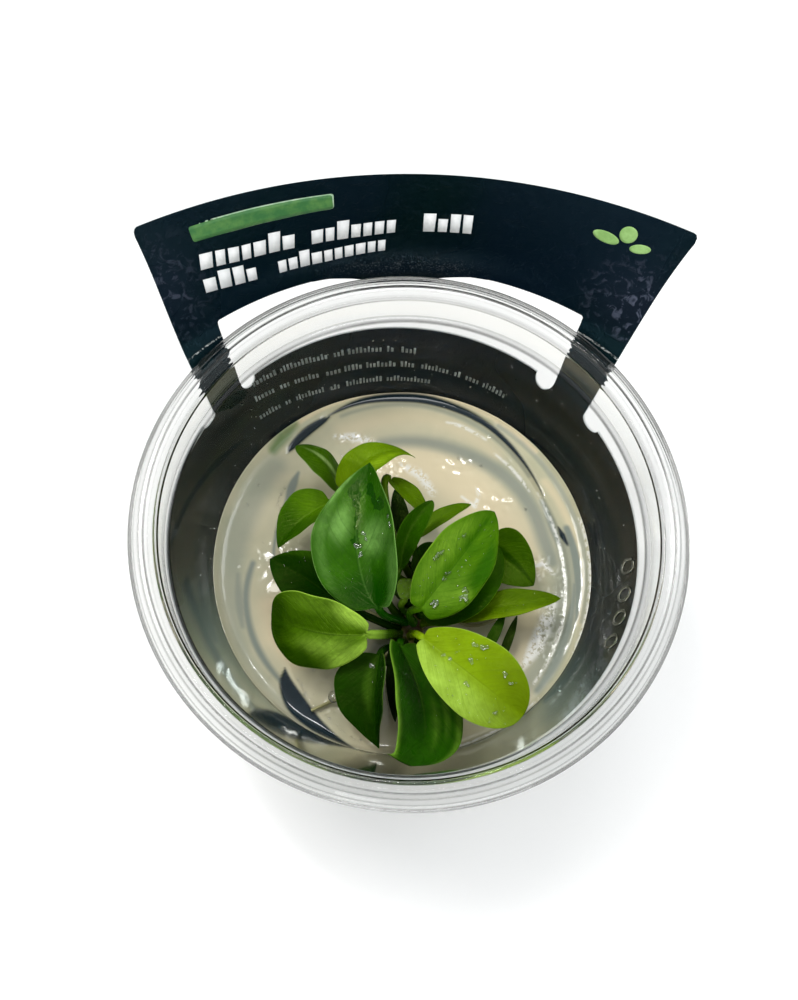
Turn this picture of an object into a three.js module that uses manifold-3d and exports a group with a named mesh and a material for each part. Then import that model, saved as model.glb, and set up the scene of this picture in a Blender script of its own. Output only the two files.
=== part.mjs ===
// Tissue culture Anubias in its cup, in millimetres, +Z up.
// A thin clear cup with a lipped rim stands on its base at z = 0, its axis on the Z axis.
// Round it sits a card sleeve whose two legs pass outside the rim at the back (+Y) and carry a
// fan-shaped header. In the cup lies a pad of nutrient gel, and on that the small plant:
// a creeping rhizome, roots, and leaves that each have their own petiole.
import * as THREE from 'three';
import { mergeVertices } from 'three/addons/utils/BufferGeometryUtils.js';
import Module from 'manifold-3d';

const wasm = await Module();
wasm.setup();

// Driving dimensions of the cup
const RIM_R = 50.5; // outer edge of the rim
const RIM_Z = 45.8; // height of that edge above the table
const WALL = 0.6; // thickness of the formed sheet
const THROAT_R = 43.9; // inside of the cone at its top, below the lid seat
const THROAT_Z = 39.6;
const FLOOR_R = 32.7; // inside of the cone at the floor
const FLOOR_Z = 0.7;
const CORNER_R = 2; // radius between floor and cone
const AROUND = 48; // facets round the cup and the gel

// Driving dimensions of the card
const CARD = 0.45; // thickness
const GAP = 0.4; // clearance between pieces that touch
const BAND_TOP = 37.1; // mean height of the band's top edge
const BAND_BOTTOM = 16.5;
const BAND_TILT = 1.6; // the band sits lower by this at the right, higher at the left
const TILT_TOWARD = 80; // degrees from +Y towards +X
const LEG_ROOTS = [[-55.4, -45.4], [54.9, 43.7]]; // outer and inner edge of each leg at the band
const LEG_FEET = [[-49.6, -41], [50.6, 40.4]]; // and where it runs into the header
const LEG_BEND = [8.5, 6]; // stiffness of the leg's double bend, at the header and at the band
const NOTCHES = [[-60.2, -55.4, 0.8], [-45.4, -41, 2], [38.1, 43.7, 3.1], [54.9, 60.7, 1.6]];
const HEADER_FOOT = 45.3; // height where the legs run into the header
const HEADER_TOP = 67.9;
const HEADER_CORNER = 1.7; // radius of the header's top corners
const HEADER_SKEW = 1.2; // degrees by which its top has turned to the right
const SIDE_DRAW = 2.7; // degrees by which its sides draw in towards the top

// Driving dimensions of the gel and the plant
const GEL_TOP = 17.8;
const MENISCUS = 1.6; // how far the gel climbs at the wall
const RHIZOME_POINTS = [[-1.5, -19, 19.3], [0.5, -13.5, 19.8], [2.2, -7.5, 20], [4.2, -1.5, 20.6]];
const RHIZOME_R = 2.9;
const SCARS = 5; // leaf scars ring it
const SCAR = 0.25; // and stand out this far
const PETIOLE_R = 0.75;
const BLADE = 0.5; // thickness of a leaf blade at its midrib

const lerp = THREE.MathUtils.lerp;
const rad = THREE.MathUtils.degToRad;
const vec = (p) => new THREE.Vector3(...p);
const UPWARD = vec([0, 0, 1]);

const paint = (color, roughness, extra = {}) =>
  new THREE.MeshStandardMaterial({ color, roughness, metalness: 0, ...extra });
const clearPlastic = paint('#eef1f0', 0.08, { transparent: true, opacity: 0.3 });
const gelMatter = paint('#d3c9a6', 0.15, { transparent: true, opacity: 0.75 });
const card = paint('#0a131c', 0.3);
const stem = paint('#5d4a22', 0.6);
const greens = {
  bright: paint('#7daa14', 0.35),
  fresh: paint('#4b8210', 0.35),
  deep: paint('#245f12', 0.35),
  dark: paint('#123f0a', 0.35),
};

const group = new THREE.Group();

function addPiece(name, geometry, material) {
  const mesh = new THREE.Mesh(geometry, material);
  mesh.name = name;
  group.add(mesh);
}

function geometryOf(points, triangles) {
  const geometry = new THREE.BufferGeometry();
  const flat = points.flatMap((p) => p.toArray());
  geometry.setAttribute('position', new THREE.Float32BufferAttribute(flat, 3));
  geometry.setIndex(triangles.flat());
  geometry.computeVertexNormals();
  return geometry;
}

function toManifold(geometry) {
  const bare = geometry.clone();
  bare.deleteAttribute('normal');
  bare.deleteAttribute('uv');
  const merged = mergeVertices(bare, 1e-4);
  return new wasm.Manifold(new wasm.Mesh({
    numProp: 3,
    vertProperties: new Float32Array(merged.attributes.position.array),
    triVerts: new Uint32Array(merged.index.array),
  }));
}

function fromManifold(solid) {
  const mesh = solid.getMesh();
  const geometry = new THREE.BufferGeometry();
  geometry.setAttribute('position', new THREE.Float32BufferAttribute(mesh.vertProperties, 3));
  geometry.setIndex([...mesh.triVerts]);
  geometry.computeVertexNormals();
  return geometry;
}

// A solid of revolution about Z from [radius, height] points that run up the outside
function turned(profile) {
  const points = profile.map(([r, z]) => new THREE.Vector2(r, z));
  return new THREE.LatheGeometry(points, AROUND).rotateX(Math.PI / 2);
}

// Cup

// Inside radius of the cone at a height
function coneRadius(z) {
  return lerp(FLOOR_R, THROAT_R, (z - FLOOR_Z) / (THROAT_Z - FLOOR_Z));
}

// Points on the rounded corner between a flat at height z0 and the cone set out by `out`
function cornerArc(z0, out, radius) {
  const steps = 3;
  const start = coneRadius(z0) + out - radius;
  return Array.from({ length: steps + 1 }, (_, i) => {
    const a = (i / steps) * Math.PI / 2;
    const z = z0 + radius * (1 - Math.cos(a));
    return [lerp(start + radius * Math.sin(a), coneRadius(z) + out, i / steps), z];
  });
}

// The rim, as radius and height above RIM_Z: lid seat, flat, raised bead, sloping edge and skirt
const RIM_OUTSIDE = [
  [coneRadius(RIM_Z - 6.8) + WALL, -6.8], [45.4, -6.1], [45.8, -1.4], [46.6, -0.3], [48.0, 0.4],
  [49.8, -0.6], [49.9, -1.8],
];
const RIM_INSIDE = [
  [RIM_R, -1.8], [RIM_R, 0], [49.4, 0.4], [48.4, 1.1], [47.7, 1.2], [47.0, 0.6], [45.7, 0.5],
  [45.2, -0.3], [44.8, -5.6], [THROAT_R, THROAT_Z - RIM_Z],
];

function cup() {
  const aboveRim = ([r, z]) => [r, RIM_Z + z];
  return turned([
    [0, 0], ...cornerArc(0, WALL, CORNER_R + WALL),
    ...RIM_OUTSIDE.map(aboveRim), ...RIM_INSIDE.map(aboveRim),
    ...cornerArc(FLOOR_Z, 0, CORNER_R).reverse(), [0, FLOOR_Z],
  ]);
}

// Card sleeve with its header, as one folded sheet

const bandHeight = (mean, az) => mean - BAND_TILT * Math.cos(rad(az - TILT_TOWARD));

// A point of the card's middle surface on the band, azimuth in degrees from +Y towards +X
function onBand(az, z) {
  const r = coneRadius(z) + WALL + GAP + CARD / 2;
  return new THREE.Vector3(r * Math.sin(rad(az)), r * Math.cos(rad(az)), z);
}

// The header is flatter the higher it goes: its level curves are arcs with these centres and radii
function onHeader(turn, z) {
  const up = z - RIM_Z;
  const centre = -12 - 1.736 * up;
  const radius = 64.4 + 2 * up;
  return new THREE.Vector3(radius * Math.sin(turn), centre + radius * Math.cos(turn), z);
}

// The header's own angle, in radians, for an azimuth seen from the cup's axis
function headerTurn(az, z) {
  let turn = rad(az);
  for (let i = 0; i < 12; i += 1) {
    const p = onHeader(turn, z);
    turn += 0.8 * (rad(az) - Math.atan2(p.x, p.y));
  }
  return turn;
}

const LEG_STEPS = [0, 0.12, 0.35, 0.65, 1]; // columns of a leg, from its outer edge to its inner edge
const LEG_ROWS = 6;
const HEADER_ROWS = 5;
const HEADER_COLUMNS = 16; // between the legs
const TONGUE = [3, 2.6, 1.3, 0.3]; // how far the header reaches down, by columns from its middle
const side = (az) => (az < 0 ? 0 : 1);
const legAzimuth = (leg, f) => lerp(...LEG_ROOTS[leg], f);
const footAzimuth = (leg, f) => lerp(...LEG_FEET[leg], f);

// Where a column of the header that starts at azimuth `foot` has got to at height z
function headerPoint(foot, z) {
  const rise = (z - HEADER_FOOT) / (HEADER_TOP - HEADER_FOOT);
  const [outer, inner] = LEG_FEET[side(foot)];
  const beside = Math.max(0, (foot - inner) / (outer - inner));
  const draw = SIDE_DRAW * (1 - (1 - rise) ** 2) * beside * Math.sign(foot);
  const az = foot + HEADER_SKEW * rise - draw;
  return onHeader(headerTurn(az, z), z);
}

// Height of the header's top edge, with its rounded corners
function headerEdge(foot) {
  const inset = rad(Math.abs(LEG_FEET[side(foot)][0] - foot)) * HEADER_TOP;
  const left = Math.max(0, HEADER_CORNER - inset);
  return HEADER_TOP - HEADER_CORNER + Math.sqrt(HEADER_CORNER ** 2 - left ** 2);
}

// Relief notches beside the legs, each given by its start and end azimuth and its depth
function notchDepth(az) {
  for (const [from, to, depth] of NOTCHES) {
    const off = (2 * az - from - to) / (to - from);
    if (Math.abs(off) < 1) return depth * Math.sqrt(1 - off ** 2);
  }
  return 0;
}

// The columns of the band: at the notches and the legs, and evenly spread between these
function bandAzimuths() {
  const close = [
    ...NOTCHES.flatMap(([from, to]) => [0, 0.15, 0.5, 0.85, 1].map((t) => lerp(from, to, t))),
    ...[0, 1].flatMap((leg) => LEG_STEPS.slice(1, -1).map((f) => legAzimuth(leg, f))),
  ];
  const even = Array.from({ length: 54 }, (_, i) => 20 * i / 3 - 180)
    .filter((az) => close.every((near) => Math.abs(az - near) > 3));
  return [...close, ...even].sort((a, b) => a - b);
}

// A bend from the header's foot, under the rim, to the top of the band
function onLeg(leg, f, t) {
  const foot = footAzimuth(leg, f);
  const az = legAzimuth(leg, f);
  const start = headerPoint(foot, HEADER_FOOT);
  const end = onBand(az, bandHeight(BAND_TOP, az));
  const leave = start.clone().sub(headerPoint(foot, HEADER_FOOT + 1)).setLength(LEG_BEND[0]);
  const arrive = onBand(az, end.z - 1).sub(end).setLength(LEG_BEND[1]);
  const ease = t * t * (3 - 2 * t);
  return start.multiplyScalar(1 - ease).addScaledVector(leave, t * (1 - t) ** 2)
    .addScaledVector(end, ease).addScaledVector(arrive, t * t * (t - 1));
}

// Gives a sheet of quads a thickness, half to each side, and closes its free edges
function thicken(points, quads, thickness) {
  const normals = points.map(() => new THREE.Vector3());
  for (const [a, b, c, d] of quads) {
    const across = points[d].clone().sub(points[b]);
    const n = points[c].clone().sub(points[a]).cross(across).normalize();
    for (const i of [a, b, c, d]) normals[i].add(n);
  }
  normals.forEach((n) => n.setLength(thickness / 2));
  const front = points.map((p, i) => p.clone().add(normals[i]));
  const back = points.map((p, i) => p.clone().sub(normals[i]));
  const behind = (i) => points.length + i;
  const triangles = [];
  const free = new Map();
  for (const [a, b, c, d] of quads) {
    triangles.push([a, b, c], [a, c, d]);
    triangles.push([behind(a), behind(c), behind(b)], [behind(a), behind(d), behind(c)]);
    for (const [s, e] of [[a, b], [b, c], [c, d], [d, a]]) {
      if (!free.delete(`${e} ${s}`)) free.set(`${s} ${e}`, [s, e]);
    }
  }
  for (const [s, e] of free.values()) triangles.push([s, behind(s), behind(e)], [s, behind(e), e]);
  return geometryOf([...front, ...back], triangles);
}

function cardSleeve() {
  const points = [];
  const quads = [];
  const add = (p) => points.push(p) - 1;
  // Columns list their points from the top down, and neighbours are joined as far as both reach
  const join = (left, right) => {
    for (let i = 0; i + 1 < Math.min(left.length, right.length); i += 1) {
      quads.push([left[i], left[i + 1], right[i + 1], right[i]]);
    }
  };

  const bandTops = new Map();
  const band = bandAzimuths().map((az) => {
    const top = bandHeight(BAND_TOP, az) - notchDepth(az);
    const bottom = bandHeight(BAND_BOTTOM, az);
    const column = [0, 0.5, 1].map((t) => add(onBand(az, lerp(top, bottom, t))));
    bandTops.set(az.toFixed(3), column[0]);
    return column;
  });
  band.forEach((column, i) => join(column, band[(i + 1) % band.length]));

  const headerColumn = (foot) => Array.from({ length: HEADER_ROWS + 1 }, (_, row) => (
    add(headerPoint(foot, lerp(headerEdge(foot), HEADER_FOOT, row / HEADER_ROWS)))));
  const legColumn = (leg, f) => [
    ...headerColumn(footAzimuth(leg, f)),
    ...Array.from({ length: LEG_ROWS - 1 }, (_, i) => add(onLeg(leg, f, (i + 1) / LEG_ROWS))),
    bandTops.get(legAzimuth(leg, f).toFixed(3)),
  ];
  const middle = Array.from({ length: HEADER_COLUMNS - 1 }, (_, i) => {
    const foot = lerp(LEG_FEET[0][1], LEG_FEET[1][1], (i + 1) / HEADER_COLUMNS);
    const tongue = TONGUE[Math.abs(i + 1 - HEADER_COLUMNS / 2)];
    return [...headerColumn(foot), ...(tongue ? [add(headerPoint(foot, HEADER_FOOT - tongue))] : [])];
  });
  const columns = [
    ...LEG_STEPS.map((f) => legColumn(0, f)),
    ...middle,
    ...LEG_STEPS.map((f) => legColumn(1, f)).reverse(),
  ];
  columns.slice(1).forEach((column, i) => join(columns[i], column));
  return thicken(points, quads, CARD);
}

// Lofted pieces

// Joins rings of equal length into a closed body; each end is closed by a fan round its middle
function loft(rings) {
  const n = rings[0].length;
  const points = rings.flat();
  const triangles = [];
  for (let k = 0; k + 1 < rings.length; k += 1) {
    for (let i = 0; i < n; i += 1) {
      const [a, b] = [k * n + i, k * n + (i + 1) % n];
      triangles.push([a, b, b + n], [a, b + n, a + n]);
    }
  }
  const middle = (ring) => ring.reduce((sum, p) => sum.add(p), new THREE.Vector3()).divideScalar(n);
  const first = points.push(middle(rings[0])) - 1;
  const last = points.push(middle(rings.at(-1))) - 1;
  const top = (rings.length - 1) * n;
  for (let i = 0; i < n; i += 1) {
    triangles.push([first, (i + 1) % n, i], [last, top + i, top + (i + 1) % n]);
  }
  return geometryOf(points, triangles);
}

// A round, tapering tube along a curve; radiusAt takes 0 at its start and 1 at its end
function limb(curve, radiusAt, steps, sides) {
  const frames = curve.computeFrenetFrames(steps);
  return loft(Array.from({ length: steps + 1 }, (_, k) => {
    const centre = curve.getPointAt(k / steps);
    const r = radiusAt(k / steps);
    return Array.from({ length: sides }, (_s, i) => {
      const a = (2 * Math.PI * i) / sides;
      return centre.clone().addScaledVector(frames.normals[k], r * Math.cos(a))
        .addScaledVector(frames.binormals[k], r * Math.sin(a));
    });
  }));
}

// Gel and rhizome

const rhizomeLine = new THREE.CatmullRomCurve3(RHIZOME_POINTS.map(vec));

// Its radius along its length, with the scars and with rounded ends
function rhizomeRadius(t) {
  const scar = SCAR * Math.cos(2 * Math.PI * SCARS * t);
  const end = Math.min(1, t / 0.12, (1 - t) / 0.12);
  return (RHIZOME_R + scar) * Math.sqrt(0.15 + 0.85 * end * (2 - end));
}

const ROOT_R = [0.5, 0.3]; // radius of a root at the rhizome and at its end
const ROOTS = [
  [[-2, -17, 19.4], [-8, -21, 18.8], [-14, -26.5, 18.6], [-19, -29, 18.7]],
  [[0, -16, 19.4], [5, -21, 18.7], [9, -24, 18.6], [12, -28, 18.6]],
  [[3, -10, 19.6], [8, -11, 18.7], [13, -13, 18.6], [18, -12, 18.6]],
  [[-1, -12, 19.6], [-7, -10, 18.7], [-11, -6, 18.6], [-15, -3, 18.6]],
  [[4, -4, 19.8], [7, 0, 18.7], [9, 1, 18.6], [13, 0, 18.6]],
];

// The rhizome without roots, as a solid; `grow` makes the pocket that it lies in
function rhizomeBody(grow = 0) {
  return toManifold(limb(rhizomeLine, (t) => rhizomeRadius(t) + grow, 13, 10));
}

function rhizome() {
  const roots = ROOTS.map((points) => toManifold(limb(
    new THREE.CatmullRomCurve3(points.map(vec)), (t) => lerp(...ROOT_R, t), 6, 5)));
  return fromManifold(roots.reduce((solid, root) => solid.add(root), rhizomeBody()));
}

function gel() {
  const floor = FLOOR_Z + GAP;
  const edge = (z) => coneRadius(z) - GAP;
  const pad = toManifold(turned([
    [0, floor], [edge(floor) - CORNER_R, floor],
    [edge(floor) - CORNER_R / 4, floor + CORNER_R / 4], [edge(floor + CORNER_R), floor + CORNER_R],
    [edge(GEL_TOP + MENISCUS), GEL_TOP + MENISCUS],
    [edge(GEL_TOP) - 0.6, GEL_TOP + MENISCUS / 3], [edge(GEL_TOP) - 2.5, GEL_TOP], [0, GEL_TOP],
  ]));
  return fromManifold(pad.subtract(rhizomeBody(GAP)));
}

// Leaves

// Blade: base and tip of the midrib, half width, and the shape between them.
//   bank turns the blade about its midrib, in degrees; arch lifts the middle of the midrib and
//   sway moves it sideways, as parts of its length; fold lifts the side edges as a part of the
//   half width; hook bends the tip down and curl bends it sideways, in mm; blunt and point
//   shape the outline at its ends.
// Petiole: it runs back to the rhizome at the place `from`, 0 at the rhizome's front end, and
//   leans over towards the point `via` where that is given.
const LEAVES = {
  leaf_01: {
    base: [-6, -12, 32], tip: [-6.9, 15.8, 34.8], half: 8.7, from: 0.34,
    bank: -28, arch: 0.12, fold: 0.7, point: 0.9, green: 'deep',
  },
  leaf_02: {
    base: [2.1, -12.5, 31.8], tip: [16.8, 5.6, 34], half: 7.3, from: 0.36, via: [-1.5, -11, 24.5],
    bank: 35, arch: 0.06, fold: 0.1, sway: -0.02, green: 'fresh',
  },
  leaf_03: {
    base: [-8.4, -17.2, 31.6], tip: [-26.1, -12.2, 28.5], half: 8, from: 0.18,
    bank: -45, fold: 0.1, sway: -0.02, blunt: 0.3, point: 0.3, green: 'fresh',
  },
  leaf_04: {
    base: [2.4, -18.5, 32.3], tip: [20.1, -32.9, 30], half: 7.4, from: 0.23,
    arch: 0.08, sway: 0.02, blunt: 0.6, point: 0.5, green: 'bright',
  },
  leaf_05: {
    base: [-1.9, -18.5, 26.9], tip: [0.4, -42, 34.6], half: 7.2, from: 0.14,
    bank: -31, arch: -0.03, sway: -0.14, curl: 4, blunt: 0.4, point: 0.25, green: 'dark',
  },
  leaf_06: {
    base: [-5.7, -20.2, 27], tip: [-6.3, -37, 22.6], half: 6.5, from: 0.07,
    bank: 45, arch: 0.08, fold: 0.7, point: 1, green: 'dark',
  },
  leaf_07: { base: [-3.7, -21, 19.8], tip: [-2.9, -31.6, 19], half: 1.1, from: 0.03, green: 'dark' },
  leaf_08: {
    base: [-14.3, -8.7, 25], tip: [-26.6, -0.5, 25.8], half: 5.4, from: 0.25,
    bank: -12, sway: 0.04, point: 0.8, green: 'dark',
  },
  leaf_09: {
    base: [-14.6, 10.6, 26.5], tip: [-25.1, 2.1, 24.6], half: 4.5, from: 0.4,
    bank: 22, arch: 0.14, fold: 0.6, blunt: 0.4, point: 0.8, green: 'deep',
  },
  leaf_10: {
    base: [-12.7, 14.4, 23.4], tip: [-21.4, 22.7, 27.2], half: 3.5, from: 0.61,
    bank: 31, arch: 0.15, fold: -0.1, sway: 0.04, blunt: 0.6, point: 0.6, green: 'fresh',
  },
  leaf_11: {
    base: [-12.3, 12.3, 29.6], tip: [0.7, 19.8, 33.2], half: 4, from: 0.76, via: [-8, 1.5, 30],
    bank: -16, arch: 0.17, fold: 0.1, sway: -0.06, hook: 1.5, curl: 0.8, point: 1, green: 'bright',
  },
  leaf_12: {
    base: [-2.5, 15.2, 26.5], tip: [3.9, 7.8, 27], half: 2.1, from: 0.86, via: [-6, 18.5, 30.5],
    bank: -22, point: 0.5, green: 'fresh',
  },
  leaf_13: {
    base: [-1.4, -3.6, 29], tip: [4.9, 7.9, 34.7], half: 2, from: 0.55, via: [-3.5, -5.5, 26.5],
    bank: 13, arch: 0, fold: 0.9, sway: -0.1, blunt: 0.6, point: 0.4, green: 'deep',
  },
  leaf_14: {
    base: [1.8, -3.7, 25.3], tip: [6.8, 0.6, 27.8], half: 2.9, from: 0.9,
    fold: 0.5, blunt: 0.6, point: 0.4, green: 'dark',
  },
  leaf_15: {
    base: [-0.4, -9.3, 27], tip: [-0.2, -5.4, 27.1], half: 1.8, from: 0.44, via: [-2.5, -10, 23],
    green: 'fresh',
  },
  leaf_16: {
    base: [2, 2.7, 28], tip: [13.1, 9.3, 28], half: 1.8, from: 0.98,
    bank: -22, green: 'fresh',
  },
  leaf_17: {
    base: [2.9, -11.7, 23.9], tip: [18.5, 1, 25.8], half: 7.2, from: 0.44,
    bank: -6, arch: 0.06, fold: 0.1, sway: 0.02, point: 0.6, green: 'deep',
  },
  leaf_18: {
    base: [17, 2.6, 21.8], tip: [25.3, -6.2, 23], half: 5.5, from: 0.9,
    bank: 9, fold: 0.5, blunt: 0.3, green: 'dark',
  },
  leaf_19: {
    base: [8.9, -12.2, 21], tip: [30, -9.5, 25], half: 2.7, from: 0.39,
    bank: -8, blunt: 0.6, point: 0.5, green: 'fresh',
  },
  leaf_20: { base: [14.6, -19.8, 22.5], tip: [19.1, -11.8, 23.5], half: 1.1, from: 0.2, green: 'deep' },
  leaf_21: { base: [17.9, -21, 19.5], tip: [21.8, -11.9, 21.3], half: 0.9, from: 0.05, green: 'dark' },
  leaf_22: {
    base: [-0.8, 3.2, 20], tip: [-1.4, 15.2, 21.5], half: 2, from: 0.94,
    bank: 12, green: 'dark',
  },
};
const BLADE_STATIONS = [0.03, 0.12, 0.3, 0.52, 0.75, 0.92, 1];
const BLADE_ACROSS = [-1, -0.5, 0, 0.5, 1];
const PETIOLE_STEPS = 3;
const PETIOLE_RISE = 0.8; // least slope at which a petiole leaves the rhizome
const PETIOLE_BEND = 0.25; // how far its end directions reach, as a part of its length
const LOBE = 0.06; // how far the blade's lobes reach back past the petiole, as a part of its length

function outline(v, blunt, point) {
  const widest = blunt / (blunt + point);
  return (v / widest) ** blunt * ((1 - v) / (1 - widest)) ** point;
}

const USUAL_LEAF = {
  bank: 0, arch: 0.1, fold: 0.3, sway: 0, hook: 0, curl: 0, blunt: 0.5, point: 0.7,
};

function leaf(shape) {
  const {
    base, tip, half, from, via, bank, arch, fold, sway, hook, curl, blunt, point,
  } = { ...USUAL_LEAF, ...shape };
  const start = vec(base);
  const along = vec(tip).sub(start);
  const length = along.length();
  along.normalize();
  const side = along.clone().cross(UPWARD).normalize().applyAxisAngle(along, rad(bank));
  const up = side.clone().cross(along);

  const onBlade = (u, v) => {
    const width = Math.max(half * outline(v, blunt, point), 0.15);
    const bow = length * 4 * v * (1 - v);
    const lift = arch * bow + fold * width * Math.abs(u) ** 1.5 - hook * v ** 4;
    return start.clone().addScaledVector(along, length * (v - LOBE * u * u * (1 - v) ** 4))
      .addScaledVector(side, u * width + sway * bow + curl * v ** 8).addScaledVector(up, lift);
  };
  const bladeRing = (v) => {
    const thick = (u) => BLADE * (1 - 0.4 * u * u) * lerp(1.5, 0.8, v) / 2;
    const face = (sign) => BLADE_ACROSS.map((u) => (
      onBlade(u * sign, v).addScaledVector(up, sign * thick(u))));
    return [...face(1), ...face(-1)];
  };

  const root = rhizomeLine.getPointAt(from);
  const outward = start.clone().sub(root).projectOnPlane(rhizomeLine.getTangentAt(from));
  outward.z = Math.max(outward.z, PETIOLE_RISE * Math.hypot(outward.x, outward.y));
  outward.projectOnPlane(rhizomeLine.getTangentAt(from)).normalize();
  root.addScaledVector(outward, rhizomeRadius(from) + GAP);
  const heading = along.clone().addScaledVector(up, 4 * arch).normalize();
  const reach = start.distanceTo(root) * PETIOLE_BEND;
  const bend = via ? vec(via) : start.clone().addScaledVector(heading, -reach);
  const rising = root.clone().addScaledVector(outward, reach);
  const petiole = new THREE.CubicBezierCurve3(root, rising, bend, start);
  const petioleRing = (t) => {
    const tangent = petiole.getTangent(t);
    const right = side.clone().addScaledVector(tangent, -side.dot(tangent)).normalize();
    const top = right.clone().cross(tangent);
    const n = 2 * BLADE_ACROSS.length;
    return Array.from({ length: n }, (_, i) => {
      const a = Math.PI - (2 * Math.PI * (i + 0.5)) / n;
      return petiole.getPoint(t).addScaledVector(right, PETIOLE_R * Math.cos(a))
        .addScaledVector(top, PETIOLE_R * Math.sin(a));
    });
  };
  return loft([
    ...Array.from({ length: PETIOLE_STEPS }, (_, k) => petioleRing(k / PETIOLE_STEPS)),
    ...BLADE_STATIONS.map(bladeRing),
  ]);
}

addPiece('cup', cup(), clearPlastic);
addPiece('gel', gel(), gelMatter);
addPiece('card_sleeve', cardSleeve(), card);
addPiece('rhizome', rhizome(), stem);
for (const [name, shape] of Object.entries(LEAVES)) addPiece(name, leaf(shape), greens[shape.green]);

export default group;
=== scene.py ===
"""A tissue culture Anubias in its clear cup with a card sleeve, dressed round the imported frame.

Lengths are in millimetres until a mesh is made, and angles round the cup run from +Y towards +X.
"""
import math
import random

import bpy
import numpy as np
from mathutils import Matrix, Vector, noise


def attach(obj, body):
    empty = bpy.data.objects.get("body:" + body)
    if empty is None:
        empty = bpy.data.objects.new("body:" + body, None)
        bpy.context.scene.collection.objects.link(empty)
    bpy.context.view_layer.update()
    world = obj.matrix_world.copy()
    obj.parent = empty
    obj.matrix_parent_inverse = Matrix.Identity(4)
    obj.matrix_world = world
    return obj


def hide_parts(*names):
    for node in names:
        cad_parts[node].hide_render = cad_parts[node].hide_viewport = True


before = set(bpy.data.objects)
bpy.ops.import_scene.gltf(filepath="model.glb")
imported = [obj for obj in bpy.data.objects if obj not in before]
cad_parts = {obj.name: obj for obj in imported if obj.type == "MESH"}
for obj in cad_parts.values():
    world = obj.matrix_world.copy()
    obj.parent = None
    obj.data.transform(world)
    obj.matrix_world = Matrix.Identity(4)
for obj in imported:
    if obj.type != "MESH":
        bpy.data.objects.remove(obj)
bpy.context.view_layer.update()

MM = 0.001
TURN = 2 * math.pi
rng = random.Random(7)


# Camera

CAMERA_AZIMUTH, CAMERA_ELEVATION, CAMERA_ROLL = (math.radians(a) for a in (-9.3, 70.18, 7.75))
CAMERA_DISTANCE = 200.0  # from the middle of the rim
PICTURE, FOCAL_PIXELS, SENSOR = (798, 1000), 1113.0, 36
AIM_PIXEL = (411.7, 521.6)  # where the middle of the rim appears
RIM_Z = 45.8

back = np.array([
    math.sin(CAMERA_AZIMUTH) * math.cos(CAMERA_ELEVATION),
    -math.cos(CAMERA_AZIMUTH) * math.cos(CAMERA_ELEVATION), math.sin(CAMERA_ELEVATION)])
level_right = np.array([math.cos(CAMERA_AZIMUTH), math.sin(CAMERA_AZIMUTH), 0])
level_up = np.cross(back, level_right)
cam_right = math.cos(CAMERA_ROLL) * level_right + math.sin(CAMERA_ROLL) * level_up
cam_up = -math.sin(CAMERA_ROLL) * level_right + math.cos(CAMERA_ROLL) * level_up
slide_x = (AIM_PIXEL[0] - PICTURE[0] / 2) / FOCAL_PIXELS * CAMERA_DISTANCE
slide_y = -(AIM_PIXEL[1] - PICTURE[1] / 2) / FOCAL_PIXELS * CAMERA_DISTANCE
eye = back * CAMERA_DISTANCE - cam_right * slide_x - cam_up * slide_y + np.array([0, 0, RIM_Z])

camera = bpy.data.objects.new("camera", bpy.data.cameras.new("camera"))
bpy.context.collection.objects.link(camera)
bpy.context.scene.camera = camera
camera.data.sensor_width = SENSOR
camera.data.lens = SENSOR * FOCAL_PIXELS / PICTURE[1]
camera.data.clip_start = 0.01
turn = Matrix((cam_right, cam_up, back)).transposed().to_4x4()
camera.matrix_world = Matrix.Translation(Vector(eye * MM)) @ turn


# Materials

def srgb(red, painted_leaf_reflection, blue):
    """A colour given as it shows on a screen, 0 to 255, as linear values."""
    def linear(c):
        c /= 255
        return c / 12.92 if c <= 0.04045 else ((c + 0.055) / 1.055) ** 2.4
    return (linear(red), linear(painted_leaf_reflection), linear(blue), 1)


class Value:
    """An output of a node, whose sums and products are nodes too."""

    def __init__(self, finish, socket):
        self.finish, self.socket = finish, socket

    def math(self, operation, *others):
        return self.finish.node("Math", enumerate([self, *others]), operation=operation)

    def __add__(self, other):
        return self.math("ADD", other)

    def __sub__(self, other):
        return self.math("SUBTRACT", other)

    def __mul__(self, other):
        return self.math("MULTIPLY", other)

    def __pow__(self, other):
        return self.math("POWER", other)

    def __abs__(self):
        return self.math("ABSOLUTE")

    def grade(self, low, high, to_low=0.0, to_high=1.0):
        """The value carried smoothly from one range to another."""
        return self.finish.node("MapRange", enumerate([self, low, high, to_low, to_high]),
                                interpolation_type="SMOOTHSTEP")

    def bump(self, distance, strength, **under):
        return self.finish.node("Bump", {
            "Height": self, "Distance": distance, "Strength": strength, **under})


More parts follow.
